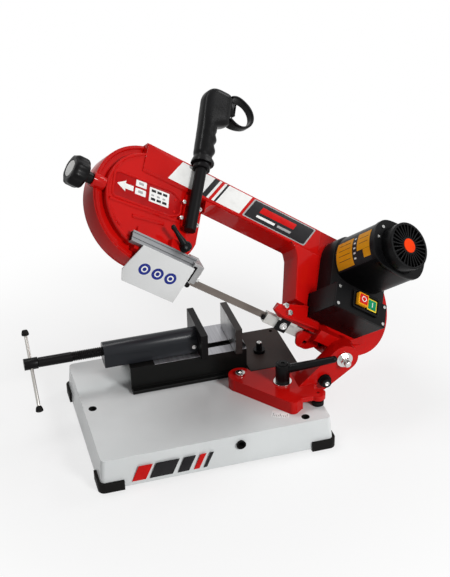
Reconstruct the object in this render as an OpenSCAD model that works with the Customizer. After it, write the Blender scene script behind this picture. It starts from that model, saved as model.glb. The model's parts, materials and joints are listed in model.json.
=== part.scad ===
// Horizontal metal-cutting band saw: a sheet steel base with a screw vise, a swivelling
// support for angled cuts, and a bow with two band wheels that swings down on the work.

/* [Base] */
// Length of the base's top
base_l = 400; // [380:5:430]
// Depth of the base's top
base_w = 300; // [290:5:330]
// Height of the base sheet
base_h = 55.5; // [48:0.5:70]
// How far the base's walls lean out at the bottom
base_flare = 5; // [3:0.5:8]
// Thickness of the base sheet
base_sheet = 2; // [1.5:0.5:3]
// Radius of the base's corners
base_corner_r = 8; // [6:1:14]
// Diameter of the bench bolt holes
bench_hole_d = 12.5; // [9:0.5:14]
// Diameter of the cable hole in the front wall
front_hole_d = 15; // [10:1:20]
// Height of the rubber feet
foot_h = 18; // [14:1:24]
// Reach of a foot along each side
foot_leg = 44; // [34:2:56]
// How far the feet hold the sheet off the floor
foot_drop = 4; // [3:0.5:8]
// Thickness of a foot's outer wall
foot_wall = 3.5; // [2.5:0.5:5]

/* [Vise] */
// Length of the vise bed
bed_l = 213; // [200:1:216]
// Height of the vise bed above the base
bed_h = 49.5; // [44:0.5:56]
// Depth of the bed's machined top
bed_w = 94.5; // [88:0.5:104]
// Width of the bed's foot flanges
bed_flange = 10; // [8:1:14]
// Width of the guide slot in the bed
slot_w = 14; // [10:1:18]
// Depth of the jaws, front to back
jaw_w = 100; // [90:1:106]
// Height of the jaws above the bed
jaw_h = 50; // [40:1:56]
// Thickness of the jaws
jaw_t = 12; // [9:0.5:13]
// Opening between the jaws
jaw_gap = 51; // [20:1:80]
// Outer radius of the jaw's screw cover
cover_r = 16.5; // [16:0.5:17.5]
// Length of the screw cover
cover_l = 168; // [150:1:180]
// Wall of the screw cover
cover_wall = 3; // [2:0.25:3.5]
// Diameter of the lead screw
screw_d = 14.5; // [12:0.5:15]
// Length of lead screw left of its cover
screw_out = 138; // [110:1:150]
// Length of the tommy bar
bar_l = 135; // [115:1:160]
// Diameter of the tommy bar
bar_d = 6; // [5:0.5:8]
// Lean of the tommy bar from upright
bar_lean = 50; // [0:5:90]

/* [Swivel support] */
// Thickness of the support's plate
support_t = 16; // [13:0.5:20]
// Radius of the arm's pivot lug
lug_r = 26; // [24:0.5:28]
// Thickness of the pivot lug
lug_t = 24; // [18:1:26]
// Diameter of the arm's pivot shaft
shaft_d = 18; // [14:1:22]
// Thickness of the swivel plate on the base
plate_t = 8; // [6:0.5:10]
// Length of the clamp lever, hub to tip
lever_l = 98; // [80:1:104]

/* [Bow] */
// How far the bow is swung up, in degrees
arm_raise = 35; // [25:1:40]
// Tilt of the band wheels about the blade, in degrees
bow_tilt = 42; // [41:0.5:44]
// Radius of the blade's loop on the wheels
wheel_r = 93; // [90:0.5:94]
// Distance between the wheel centres
wheel_span = 428; // [420:1:440]
// Width of the wheel rims
rim_w = 14; // [13:0.5:15]
// Gap from the band to the outside of the left drum
drum_gap = 11; // [10:0.5:13]
// Gap from the band to the outside of the right drum
drive_drum_gap = 9; // [8.5:0.5:11]
// Wall thickness of the bow casting
bow_wall = 3.5; // [3:0.25:4]
// Front face of the bow, from the blade's middle
bow_front = 25; // [24:0.5:28]
// Back rim of the bow, from the blade's middle
bow_back = 16; // [14:0.5:17]
// Height of the beam between the drums
beam_h = 51; // [46:1:56]
// Width of the band
band_w = 13; // [12:0.5:13]
// Thickness of the band
band_t = 0.65; // [0.5:0.05:0.9]

/* [Motor and switch] */
// Radius of the motor
motor_r = 59; // [56:0.5:61]
// Length of the motor's barrel
motor_l = 92; // [84:1:100]
// Height of the gear case
gear_case_h = 37; // [34:0.5:40]
// Teeth of the drive gear
gear_teeth = 60; // [48:6:60]
// Teeth of the motor pinion
pinion_teeth = 12; // [12:1:15]
// Length of the switch box along the bow
switch_l = 114; // [100:1:118]
// Width of the switch box
switch_w = 44; // [38:1:48]
// Height of the switch box
switch_h = 78; // [66:1:84]

/* [Handle and guides] */
// Diameter of the handle tube
handle_d = 19.5; // [16:0.5:22]
// Radius of the grip
grip_r = 15.5; // [14:0.5:18]
// Length of the grip
grip_l = 124; // [110:1:136]
// Length of the guide bar
guide_l = 124; // [110:1:136]
// Width of the guide bar
guide_w = 19; // [16:0.5:22]
// Length of the blade guard
guard_l = 110; // [96:1:116]
// Drop of the blade guard below the blade
guard_drop = 37; // [28:1:44]

/* [Hidden] */
$fn = 64;
run_gap = 0.05;
slide_gap = 0.3;
// The part's origin is under the middle of its own box; the base's centre stands here.
stand_x = -64.55;
stand_y = -26.90;

base_top = foot_drop + base_h;
bench_x = base_l/2 - 41;
bench_y = base_w/2 - 15;
bench_left_x = base_l/2 - 15.5;

// Vise places, from the base's centre.
bed_x = -108;
bed_y = 28;
bed_top = base_top + bed_h;
bed_wall = 6;
screw_y = bed_y + 30;
fixed_x = 81;
jaw_y = bed_y - 14;
jaw_x = fixed_x - jaw_gap;
screw_z = bed_top + 26.5;
screw_r = screw_d/2;
cover_x = jaw_x - jaw_t - cover_l;
screw_end_x = cover_x - screw_out;
nut_x = -75;
nut_l = 20;
nut_wall = 1.75;
journal_r = screw_r - 1.25;
journal_l = 8;
collar_l = 24;
collar_r = screw_r + 3;
bar_x = screw_end_x + collar_l/2;
bar_slip = -17.5;
cap_l = 9;
cap_r = bar_d/2 + 1.6;

// Swivel places: the mitre bolt, the clamp and the arm's pivot.
miter_x = 80;
miter_y = -12;
miter_r = 5;
tip_r = 21;
support_low = base_top + slide_gap;
support_z = base_top + plate_t + slide_gap;
support_top = support_z + support_t;
clamp_x = 144;
clamp_y = -57;
clamp_r = 5;
clamp_arc_r = norm([clamp_x - miter_x, clamp_y - miter_y]);
clamp_arc_a = atan2(clamp_y - miter_y, clamp_x - miter_x);
miter_turn = 45;
pivot_x = 249.2;
pivot_z = 124.4;
lug_front = -80;
shaft_r = shaft_d/2;
boss_y = lug_front + lug_t + slide_gap;
boss_t = 17.5;
boss_r = 24;
bumper_x = 192;
bumper_y = -106;
washer_t = 3;
nut_t = 10;
lever_hub_r = 12.5;
lever_hub_h = 35;

// Bow places, in the wheels' own plane: x along the blade from the pivot, y across, z out.
blade_y = -28;
blade_drop = -5.5;
idler_x = -422;
drive_x = idler_x + wheel_span;
drum_y = wheel_r - 4;
drum_r = wheel_r + drum_gap;
drive_drum_r = wheel_r + drive_drum_gap;
drum_step = bow_front - 10;
drum_inset = 18;
beam_top = 2*wheel_r + 5;
beam_low = beam_top - beam_h;
beam_x = idler_x - 30;
left_wall_x = idler_x + drum_r - 4;
strut_x = drive_x - 98;
strut_low = 28;
wheel_gap = 0.4;
axle_r = 8;
drive_shaft_r = 10;
bearing_r = 18;
motor_back = 13;
motor_rise = 44;
motor_x = drive_x - motor_back;
motor_y = wheel_r + motor_rise;
case_z = bow_front;
case_wall = 4;
case_top = case_z + gear_case_h;
case_half = 66;
barrel_top = case_top + motor_l;
barrel_wall = 5;
endcap_t = 9;
fan_collar_r = 42;
fan_collar_h = 24;
rotor_r = 6;
gear_z = case_z + 9;
gear_t = 12;
gear_reach = norm([motor_x - drive_x, motor_y - wheel_r]);
gear_angle = atan2(motor_y - wheel_r, motor_x - drive_x);
gear_module = 2*gear_reach/(gear_teeth + pinion_teeth);
case_low = wheel_r - gear_module*gear_teeth/2 - 7;
switch_x = drive_x - 91;
switch_y = 18;
switch_top = bow_front + switch_h;
panel_t = 3;
button_w = 17;
button_gap = slide_gap;
stop_x = switch_x + 52;
start_x = stop_x + 25;
button_y = switch_y + switch_w/2 + 6;
gland_y = switch_y + switch_w/2 - 6;
button_h = 12;

// Handle and guide places in the wheels' plane.
handle_inset = 30;
handle_x = left_wall_x - handle_inset;
handle_z = bow_front + 15;
handle_low = 64;
grip_low = beam_top + 1;
grip_lean = 3;
grip_wave = 1.2;
guide_x = -452;
guide_y = 3;
guide_z = bow_front + 4;
guide_t = 10;
guide_side = 4;
guard_t = 2;
guard_y = blade_y - 26;
knob_y = wheel_r - 6;
knob_z = bow_front - 9;
tension_r = 4;
knob_x = idler_x - drum_r - 46;
knob_l = 26;
knob_r = 26;
carriage_l = 56;
idler_travel = 4;
carriage_w = 34;
carriage_z = knob_z - 6;
guide_block_x = -153;
guide_block_l = 78;
guide_block_drop = 19;
bracket_low = blade_drop + band_w/2 + 6;

// Frames that the pieces are drawn in.
module stand() translate([stand_x, stand_y, 0]) children();
module on_pivot() translate([pivot_x, 0, pivot_z]) rotate([0, arm_raise, 0]) children();
module on_bow() on_pivot() translate([0, blade_y, blade_drop]) rotate([bow_tilt, 0, 0]) children();

// Shared shapes.
module along_x(x, y, z, l, r) translate([x, y, z]) rotate([0, 90, 0]) cylinder(h = l, r = r);
module along_y(x, y, z, l, r) translate([x, y, z]) rotate([-90, 0, 0]) cylinder(h = l, r = r);
module post(x, y, z, h, r) translate([x, y, z]) cylinder(h = h, r = r);
module block(low, high) translate(low) cube(high - low);
module hex_head(d, h) cylinder(h = h, d = d, $fn = 6);

module rounded(l, w, r) {
    translate([r, 0]) square([l - 2*r, w]);
    translate([0, r]) square([l, w - 2*r]);
    for (x = [r, l - r], y = [r, w - r]) translate([x, y]) circle(r);
}

// The base's outer form, drawn in on every side by a wall and let down below the rim.
module tray_form(inset, below) {
    flare = base_flare*(1 + below/base_h);
    low_l = base_l + 2*flare - 2*inset;
    low_w = base_w + 2*flare - 2*inset;
    top_l = base_l - 2*inset;
    top_w = base_w - 2*inset;
    r = base_corner_r - inset;
    skin = 0.01;
    hull($fn = 32) {
        translate([-low_l/2, -low_w/2, foot_drop - below]) linear_extrude(skin) rounded(low_l, low_w, r);
        translate([-top_l/2, -top_w/2, base_top - inset - skin])
            linear_extrude(skin) rounded(top_l, top_w, r);
    }
}

module base_tray() color("whitesmoke") difference() {
    tray_form(0, 0);
    tray_form(base_sheet, 5);
    post(-bench_left_x, 0, base_top - 2*base_sheet, 3*base_sheet, bench_hole_d/2);
    for (y = [-bench_y, bench_y])
        post(bench_x, y, base_top - 2*base_sheet, 3*base_sheet, bench_hole_d/2);
    along_y(38, -base_w, foot_drop + 38, base_w/2 + 20, front_hole_d/2);
    post(miter_x, miter_y, base_top - 2*base_sheet, 3*base_sheet, miter_r);
    translate([miter_x, miter_y, base_top - 2*base_sheet]) rotate([0, 0, clamp_arc_a])
        rotate_extrude(angle = miter_turn) translate([clamp_arc_r - clamp_r - 1, 0])
            square([2*clamp_r + 2, 3*base_sheet]);
    for (a = [clamp_arc_a, clamp_arc_a + miter_turn])
        post(miter_x + clamp_arc_r*cos(a), miter_y + clamp_arc_r*sin(a), base_top - 2*base_sheet,
            3*base_sheet, clamp_r + 1.3);
    for (x = bed_bolt_x) post(x, bed_bolt_y, base_top - 2*base_sheet, 3*base_sheet, bed_bolt_r);
    post(stop_post_x, stop_post_y, base_top - 2*base_sheet, 3*base_sheet, bed_bolt_r);
}

module corner_feet() color("#1c1c1e") difference() {
    for (x = [-1, 1], y = [-1, 1]) scale_corner(x, y) linear_extrude(foot_h) foot_plan();
    tray_form(0, 0);
}
module scale_corner(x, y)
    translate([x*(base_l/2 + base_flare + foot_wall), y*(base_w/2 + base_flare + foot_wall), 0])
        mirror([x > 0 ? 1 : 0, 0, 0]) mirror([0, y > 0 ? 1 : 0, 0]) children();
module foot_plan() {
    r = base_corner_r + foot_wall;
    translate([r, 0]) square([foot_leg - r, foot_leg]);
    translate([0, r]) square([foot_leg, foot_leg - r]);
    translate([r, r]) circle(r);
}

bed_bolt_r = 3;
bed_bolt_x = [bed_x + 20, bed_x + bed_l - 20];
bed_bolt_y = bed_y + bed_w + bed_flange/2;
bed_lip = 7;
module vise_bed() color("#2a2a2d") difference() {
    translate([bed_x, 0, base_top]) rotate([90, 0, 90]) linear_extrude(bed_l)
        polygon([[bed_y - bed_flange, 0], [bed_y - bed_flange, bed_lip], [bed_y, bed_lip], [bed_y, bed_h],
            [bed_y + bed_w, bed_h], [bed_y + bed_w, bed_lip], [bed_y + bed_w + bed_flange, bed_lip],
            [bed_y + bed_w + bed_flange, 0], [bed_y + bed_w - bed_wall, 0],
            [bed_y + bed_w - bed_wall, bed_h - bed_wall - 2], [bed_y + bed_wall, bed_h - bed_wall - 2],
            [bed_y + bed_wall, 0]]);
    block([nut_x + nut_l + 6, screw_y - slot_w/2, bed_top - 2*bed_wall],
        [fixed_x + 4, screw_y + slot_w/2, bed_top + 1]);
    for (x = bed_bolt_x) post(x, bed_bolt_y, base_top - 1, bed_lip + 2, bed_bolt_r);
}

module bed_bolts() color("#8d8f92") for (x = bed_bolt_x) {
    post(x, bed_bolt_y, base_top - base_sheet - 5, bed_lip + base_sheet + 5, bed_bolt_r);
    translate([x, bed_bolt_y, base_top + bed_lip]) hex_head(10, 4);
}

module fixed_jaw() color("#55504f")
    block([fixed_x, jaw_y, bed_top], [fixed_x + jaw_t, jaw_y + jaw_w, bed_top + jaw_h + 1]);

module jaw_gusset() color("#1f1f21") {
    rest = bed_x + bed_l - fixed_x - jaw_t;
    translate([fixed_x + jaw_t, jaw_y + jaw_w - 4, bed_top]) rotate([90, 0, 0])
        linear_extrude(jaw_w - 24) polygon([[0, 0], [rest, 0], [rest, 4], [0, 4 + 1.4*rest]]);
}

module vise_nut() color("#8a7442") difference() {
    block([nut_x, screw_y - screw_r - nut_wall, bed_top],
        [nut_x + nut_l, screw_y + screw_r + nut_wall, screw_z + screw_r + nut_wall]);
    along_x(nut_x - 1, screw_y, screw_z, nut_l + 2, screw_r + run_gap);
}

plate_x = bed_x + bed_l + 3;
plate_y = 15;
module swivel_plate() color("#37302f") difference() {
    block([plate_x, plate_y, base_top], [base_l/2 - 3, base_w/2 - 8, base_top + plate_t]);
    post(base_l/2 - 16, base_w/2 - 18, base_top + 2, plate_t, 3.3);
    post(plate_x + 14, base_w/2 - 16, base_top + 2, plate_t, 3.3);
    post(stop_post_x, stop_post_y, base_top - 1, plate_t + 2, bed_bolt_r);
}

stop_post_x = 142;
stop_post_y = 71;
stop_post_r = 10.5;
module plate_stop() color("#161617") {
    post(stop_post_x, stop_post_y, base_top - base_sheet - 5, plate_t + base_sheet + 5, bed_bolt_r);
    post(stop_post_x, stop_post_y, base_top + plate_t, 6, stop_post_r);
    difference() {
        post(stop_post_x, stop_post_y, base_top + plate_t + 6, 13, 5.5);
        translate([stop_post_x, stop_post_y, base_top + plate_t + 15]) hex_head(5.5, 5);
    }
}

miter_head_r = 8.5;
module miter_bolt() color("#c9cbce") difference() {
    union() {
        post(miter_x, miter_y, base_top - 10, support_top - base_top + 10, miter_r);
        post(miter_x, miter_y, support_top + 0.2, 4, miter_head_r);
        post(miter_x, miter_y, base_top - base_sheet - 6, 6, miter_head_r + 2);
    }
    translate([miter_x, miter_y, support_top + 1.5]) hex_head(6, 5);
}

// The vise's sliding side: the moving jaw, its screw cover and the screw.
key_gap = 0.2;
module moving_jaw() color("#26262a") difference() {
    union() {
        block([jaw_x - jaw_t, jaw_y, bed_top + key_gap], [jaw_x, jaw_y + jaw_w, bed_top + jaw_h]);
        block([jaw_x - jaw_t, screw_y - slot_w/2 + key_gap, bed_top - bed_wall - 1],
            [jaw_x, screw_y + slot_w/2 - key_gap, bed_top + 1]);
        intersection() {
            block([jaw_x - jaw_t - 14, screw_y - cover_r, bed_top + 3],
                [jaw_x - jaw_t, screw_y + cover_r, screw_z + 6]);
            translate([cover_x, 0, 0]) rotate([90, 0, 90]) linear_extrude(cover_l)
                cover_plan(cover_r - cover_wall - key_gap);
        }
    }
    along_x(jaw_x - jaw_t - 15, screw_y, screw_z, 15.5, screw_r + 0.4);
    along_x(jaw_x - jaw_t - 1, screw_y, screw_z, journal_l + 1.5, journal_r + run_gap);
    for (y = [-1, 1]) along_y(jaw_x - jaw_t - 7, screw_y + y*(cover_r - 3) - 4, screw_z - 12, 8, 2);
}

module cover_plan(r) {
    translate([screw_y, screw_z]) circle(r);
    translate([screw_y - r, bed_top + 1]) square([2*r, screw_z - bed_top - 1]);
}
module jaw_cover() color("#2b2b2e") difference() {
    translate([cover_x, 0, 0]) rotate([90, 0, 90]) linear_extrude(cover_l) cover_plan(cover_r);
    translate([cover_x + 4, 0, 0]) rotate([90, 0, 90]) linear_extrude(cover_l) {
        cover_plan(cover_r - cover_wall);
        translate([screw_y - cover_r + cover_wall, bed_top - 2])
            square([2*(cover_r - cover_wall), screw_z - bed_top + 2]);
    }
    along_x(cover_x - 1, screw_y, screw_z, 8, screw_r + 0.4);
    along_y(jaw_x - jaw_t - 7, screw_y - 2*cover_r, screw_z - 12, 4*cover_r, 2);
}

module cover_screws() color("#b9bbbe") for (s = [-1, 1])
    translate([jaw_x - jaw_t - 7, screw_y + s*cover_r, screw_z - 12]) rotate([s*90, 0, 0]) {
        translate([0, 0, 0]) cylinder(h = 6, r = 2);
        mirror([0, 0, 1]) cylinder(h = 2.5, r = 4);
    }

module lead_screw() color("#8f9193") difference() {
    union() {
        along_x(screw_end_x, screw_y, screw_z, jaw_x - jaw_t - 0.5 - screw_end_x, screw_r);
        along_x(jaw_x - jaw_t - 2, screw_y, screw_z, journal_l + 2, journal_r);
        along_x(screw_end_x, screw_y, screw_z, collar_l, collar_r);
    }
    translate([bar_x, screw_y, screw_z]) rotate([-bar_lean, 0, 0])
        translate([0, 0, -2*collar_r]) cylinder(h = 4*collar_r, r = bar_d/2 + run_gap);
}

module on_bar() translate([bar_x, screw_y, screw_z]) rotate([-bar_lean, 0, 0])
    translate([0, 0, bar_slip - bar_l/2]) children();
module tommy_bar() color("#a9abae") on_bar() cylinder(h = bar_l, d = bar_d);
module bar_caps() color("#141415") on_bar() difference() {
    for (z = [-2, bar_l + 2 - cap_l]) translate([0, 0, z]) cylinder(h = cap_l, r = cap_r);
    cylinder(h = bar_l, d = bar_d);
}

// The swivelling support that carries the arm's pivot.
module support_plan() {
    translate([miter_x, miter_y]) circle(tip_r);
    translate([144, -113]) circle(10);
    translate([bumper_x, bumper_y]) circle(13);
    polygon([[62.5, -23], [136.5, -119.6], [151, -120.2], [176, -100], [188, -92], [200, -80], [212, -80],
        [212, -9.5], [84, -9.5], [84, 8]]);
    translate([138, -113]) square([52, 40]);
}
module support_skirt_side() polygon([[30, 60], [30, -130], [184, -130], [184, -80], [88, 8], [84, 40]]);
upright_x = 166;
module swivel_support() color("#c4160f") difference() {
    union() {
        translate([0, 0, support_z]) linear_extrude(support_t) support_plan();
        translate([0, 0, support_low]) linear_extrude(support_z - support_low) intersection() {
            support_plan();
            support_skirt_side();
        }
        hull($fn = 32) {
            along_y(pivot_x, lug_front, pivot_z, lug_t, lug_r);
            block([upright_x, lug_front, support_top - 2], [upright_x + 46, lug_front + lug_t, support_top]);
            block([upright_x + 26, lug_front, support_z],
                [upright_x + 48, lug_front + lug_t, support_z + 2]);
        }
        hull($fn = 32) {
            block([upright_x, lug_front, support_top - 2], [upright_x + 46, -13, support_top]);
            block([upright_x + 12, lug_front, support_top], [upright_x + 50, -36, support_top + 10]);
        }
    }
    along_y(pivot_x, lug_front - 1, pivot_z, lug_t + 2, shaft_r);
    post(miter_x, miter_y, base_top, support_t + plate_t + 4, miter_r + run_gap);
    post(clamp_x, clamp_y, base_top, support_t + plate_t + 4, clamp_r);
    block([bumper_x - 30, bumper_y - 30, base_top], [bumper_x + 30, bumper_y + 13.5, bumper_seat]);
    post(bumper_x, bumper_y, base_top, 30, 3);
    along_y(stop_bolt_x, lug_front - 1, stop_bolt_z, 18, 4);
}
bumper_seat = support_z + 6;
stop_bolt_x = 213;
stop_bolt_z = support_top + 5;

module arm_shaft() color("#9fa1a4") union() {
    along_y(pivot_x, lug_front - washer_t, pivot_z, washer_t + lug_t + boss_t - 1.6, shaft_r);
    along_y(pivot_x, lug_front - washer_t - nut_t - 5, pivot_z, nut_t + 6, shaft_r - 3);
}
module shaft_washer() color("#d9dbde") difference() {
    along_y(pivot_x, lug_front - washer_t, pivot_z, washer_t, 14.5);
    along_y(pivot_x, lug_front - washer_t - 1, pivot_z, washer_t + 2, shaft_r);
}
module shaft_nut() color("#d0d2d5") difference() {
    translate([pivot_x, lug_front - washer_t - nut_t, pivot_z]) rotate([-90, 0, 0]) hex_head(21, nut_t);
    along_y(pivot_x, lug_front - washer_t - nut_t - 1, pivot_z, nut_t + 2, shaft_r - 3);
}
module stop_bolt() color("#19191a") difference() {
    union() {
        along_y(stop_bolt_x, lug_front - 5, stop_bolt_z, 5, 11.5);
        along_y(stop_bolt_x, lug_front - 13, stop_bolt_z, 8, 8.5);
        along_y(stop_bolt_x, lug_front, stop_bolt_z, 14, 4);
    }
    translate([stop_bolt_x, lug_front - 14, stop_bolt_z]) rotate([-90, 0, 0]) hex_head(8, 6);
}
module support_bumper() color("#121213") {
    post(bumper_x, bumper_y, bumper_seat - 12, 12, 3);
    post(bumper_x, bumper_y, bumper_seat, support_top - bumper_seat - 2, 3);
    translate([bumper_x, bumper_y, bumper_seat - 5]) hex_head(12, 5);
    post(bumper_x, bumper_y, base_top + 1, bumper_seat - 5 - base_top - 1, 10.5);
}
module clamp_stud() color("#c6c8cb") union() {
    post(clamp_x, clamp_y, base_top - 14, support_top + lever_hub_h - 6 - base_top + 14, clamp_r);
    difference() {
        post(clamp_x, clamp_y, support_top, 2.5, 16);
        post(clamp_x, clamp_y, support_top - 1, 5, clamp_r);
    }
    post(clamp_x, clamp_y, base_top - base_sheet - 8.3, 8, 12);
}
module clamp_lever() color("#151516") difference() {
    union() {
        post(clamp_x, clamp_y, support_top + 2.8, lever_hub_h, lever_hub_r);
        translate([clamp_x, clamp_y, support_top + 26]) rotate([0, -13, -23]) hull($fn = 32) {
            translate([6, 0, 0]) rotate([0, 90, 0]) cylinder(h = 1, r = 8);
            translate([lever_l - 6, 0, 6]) sphere(6);
        }
    }
    post(clamp_x, clamp_y, support_top, lever_hub_h - 4, clamp_r + run_gap);
}

// The bow's outlines in the wheels' plane, drawn in by a wall: its drums and its beam.
module drum_plan(inset) {
    intersection() {
        translate([idler_x, drum_y]) circle(drum_r - inset);
        translate([idler_x - 2*drum_r, drum_y - 2*drum_r])
            square([left_wall_x - inset - idler_x + 2*drum_r, 4*drum_r]);
    }
    translate([drive_x, drum_y]) circle(drive_drum_r - inset);
}
module beam_plan(inset) {
    translate([beam_x + inset, beam_low + inset])
        square([drive_x - beam_x - inset, beam_h - 2*inset]);
    translate([strut_x + inset, strut_low + inset])
        square([drive_x - strut_x - inset, beam_top - strut_low - 2*inset]);
}
throat_fillet = 22;
strut_fillet = 8;
module corner_fill(x, y, side, r) translate([x, y]) difference() {
    translate([side > 0 ? -1 : -r, -r]) square([r + 1, r + 1]);
    translate([side*r, -r]) circle(r);
}
module throat_plan() {
    corner_fill(left_wall_x, beam_low, 1, throat_fillet);
    corner_fill(strut_x, beam_low, -1, strut_fillet);
}
module bow_plan(inset) {
    drum_plan(inset);
    beam_plan(inset);
}
module bow_layer(low, high, drum_in, beam_in) translate([0, 0, low]) linear_extrude(high - low) {
    drum_plan(drum_in);
    beam_plan(beam_in);
}
module bow_solid() {
    translate([0, 0, -bow_back]) linear_extrude(bow_front + bow_back) throat_plan();
    bow_layer(-bow_back, drum_step, 0, 0);
    bow_layer(drum_step, bow_front, drum_inset, 0);
}
module bow_room() {
    bow_layer(-bow_back - 1, drum_step - bow_wall, bow_wall, bow_wall);
    bow_layer(drum_step - bow_wall, bow_front - bow_wall, drum_inset + bow_wall, bow_wall);
}
module band_way(x, reach) block([x - reach, -14, -9], [x + reach, 9, 9]);
left_exit = sqrt(drum_r*drum_r - drum_y*drum_y);
right_exit = sqrt(drive_drum_r*drive_drum_r - drum_y*drum_y);
knob_boss_r = 12;
knob_boss_l = 22;
knob_boss_x = knob_x + knob_l + 14;
rail_t = 5;
clamp_pin_r = 4;
clamp_pin_y = guide_y + guide_w + 8;
guide_seat_x = left_wall_x - 24;
module guide_seat() {
    block([guide_x + 12, guide_y - 5.5, drum_step - 1],
        [guide_seat_x, guide_y + guide_w + 16, guide_z - slide_gap]);
    block([guide_x + 46, guide_y - 5.5, drum_step - 1], [guide_seat_x, guide_y - slide_gap, guide_z + 2]);
    block([guide_seat_x - 34, guide_y + guide_w + slide_gap, drum_step - 1],
        [guide_seat_x, guide_y + guide_w + 16, guide_z + guide_t]);
}
module arm_frame() color("#cf1710") difference() {
    union() {
        on_bow() difference() {
            union() {
                bow_solid();
                guide_seat();
            }
            bow_room();
            band_way(idler_x + left_exit, 24);
            band_way(drive_x - right_exit, 24);
            post(drive_x, wheel_r, bow_front - bow_wall - 1, bow_wall + 2, bearing_r);
            post(guide_lever_x, clamp_pin_y, guide_z - 2, guide_t + 4, clamp_pin_r + run_gap);
        }
        on_bow() difference() {
            along_x(knob_boss_x, knob_y, knob_z, knob_boss_l, knob_boss_r);
            bow_room();
        }
        on_bow() for (s = [-1, 1]) translate([idler_x, wheel_r + s*(carriage_w/2 + slide_gap + rail_t/2)])
            block([-carriage_l/2 - 4, -rail_t/2, carriage_z], [carriage_l/2 + 8, rail_t/2, bow_front - 1]);
        on_pivot() along_y(0, boss_y, 0, boss_t, boss_r);
        difference() {
            on_pivot() block([-58, boss_y, 0], [18, blade_y + 2, boss_r - 2]);
            on_bow() bow_room();
        }
        on_bow() block([handle_x - 13, handle_low + 8, bow_front - 1],
            [handle_x + 13, handle_low + 66, handle_z - handle_d/2]);
    }
    on_pivot() along_y(0, boss_y - 1, 0, boss_t - 0.4, shaft_r + run_gap);
    on_bow() along_x(knob_x, knob_y, knob_z, 100, tension_r + run_gap);
    on_bow() post(idler_x + idler_travel, wheel_r, -rim_w/2 - 1, rim_w + 2, wheel_r + wheel_gap);
}

module rear_cover() color("#b8140e")
    on_bow() translate([0, 0, -bow_back - cover_t]) linear_extrude(cover_t) bow_plan(0);

cover_t = 2;
cover_knob_h = 10;
cover_knob_r = 9;
cover_knob_top = 2.5;
cover_knob_at = [[idler_x - drum_r*0.48, drum_y + drum_r*0.53],
    [idler_x + wheel_span*0.635, beam_top - beam_h/2],
    [drive_x + drive_drum_r*0.59, drum_y + drive_drum_r*0.43]];
module cover_knobs() color("#17171a") on_bow() for (p = cover_knob_at) {
    post(p[0], p[1], -bow_back - cover_t - cover_knob_h, cover_knob_h, cover_knob_r);
    post(p[0], p[1], -bow_back - cover_t - cover_knob_h - cover_knob_top, cover_knob_top, cover_knob_r*0.72);
}

// The toothed band: a loop over both wheels, turned upright between the guides.
strand_n = 36;
arc_n = 32;
function ease(t) = t*t*(3 - 2*t);
function clip(t) = min(1, max(0, t));
twist_left = [idler_x + 30, left_wall_x + 6];
twist_right = [guide_block_x + guide_block_l - 8, drive_x - 6];
function band_turn(x) = bow_tilt*ease(clip((x - twist_left[0])/(twist_left[1] - twist_left[0])))
    *(1 - ease(clip((x - twist_right[0])/(twist_right[1] - twist_right[0]))));
function band_ring(x, y, out, turn) = [for (s = [[0, -1], [1, -1], [1, 1], [0, 1]])
    let (t = s[0]*band_t, w = s[1]*band_w/2)
    [x + out[0]*t, y + out[1]*(t*cos(turn) + w*sin(turn)), w*cos(turn) + out[1]*t*sin(turn)]];
band_points = concat(
    [for (i = [0:strand_n - 1]) let (x = idler_x + wheel_span*i/strand_n)
        each band_ring(x, 0, [0, -1], -band_turn(x))],
    [for (i = [0:arc_n]) let (a = -90 + 180*i/arc_n)
        each band_ring(drive_x + wheel_r*cos(a), wheel_r + wheel_r*sin(a), [cos(a), sin(a)], 0)],
    [for (i = [0:arc_n - 1]) let (a = 90 + 180*i/arc_n)
        each band_ring(idler_x + wheel_r*cos(a), wheel_r + wheel_r*sin(a), [cos(a), sin(a)], 0)]);
band_rings = len(band_points)/4;
band_faces = [for (i = [0:band_rings - 1], k = [0:3])
    let (a = 4*i, b = 4*((i + 1) % band_rings), j = (k + 1) % 4)
    each [[a + k, a + j, b + j], [a + k, b + j, b + k]]];
module saw_band() color("#77797c") on_bow() polyhedron(band_points, band_faces);

// The fixed guide under the gear case, and the bracket that carries it.
module guide_bracket() color("#c9170f") difference() {
    on_pivot() union() {
        block([guide_block_x + 14, blade_y - 12, bracket_low], [-58.2, blade_y + 14, bracket_low + 14]);
        block([guide_block_x + 56, blade_y - 12, bracket_low], [-58.2, blade_y + 20, bracket_low + 20]);
    }
    on_bow() translate([0, 0, -bow_back - 4]) linear_extrude(bow_back + bow_front + 4) bow_plan(0);
    on_bow() block([switch_x - slide_gap, switch_y - slide_gap, bow_front - 1],
        [switch_x + switch_l, switch_y + switch_w, switch_top]);
}
module right_guide() color("#c8cacc") on_pivot() difference() {
    union() {
        block([guide_block_x, blade_y - 6, bracket_low - 4 - guide_block_drop],
            [guide_block_x + guide_block_l, blade_y + 6, bracket_low - 4]);
        block([guide_block_x + 20, blade_y - 12, bracket_low - 4.5],
            [guide_block_x + 60, blade_y + 6, bracket_low]);
    }
    block([guide_block_x - 1, blade_y - 1, blade_drop - 30],
        [guide_block_x + guide_block_l + 1, blade_y + 1, blade_drop + band_w/2 + 1]);
}
module arm_screws() color("#b4b6b9") {
    on_pivot() for (x = [22, 36]) post(guide_block_x + x, blade_y - 2, bracket_low + 14, 5, 4.5);
    on_bow() for (y = [handle_low + 20, handle_low + 50]) for (x = [-1, 1])
        post(handle_x + x*(handle_d/2 + 6), y, handle_z - handle_d/2, 4, 3.5);
}

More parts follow.
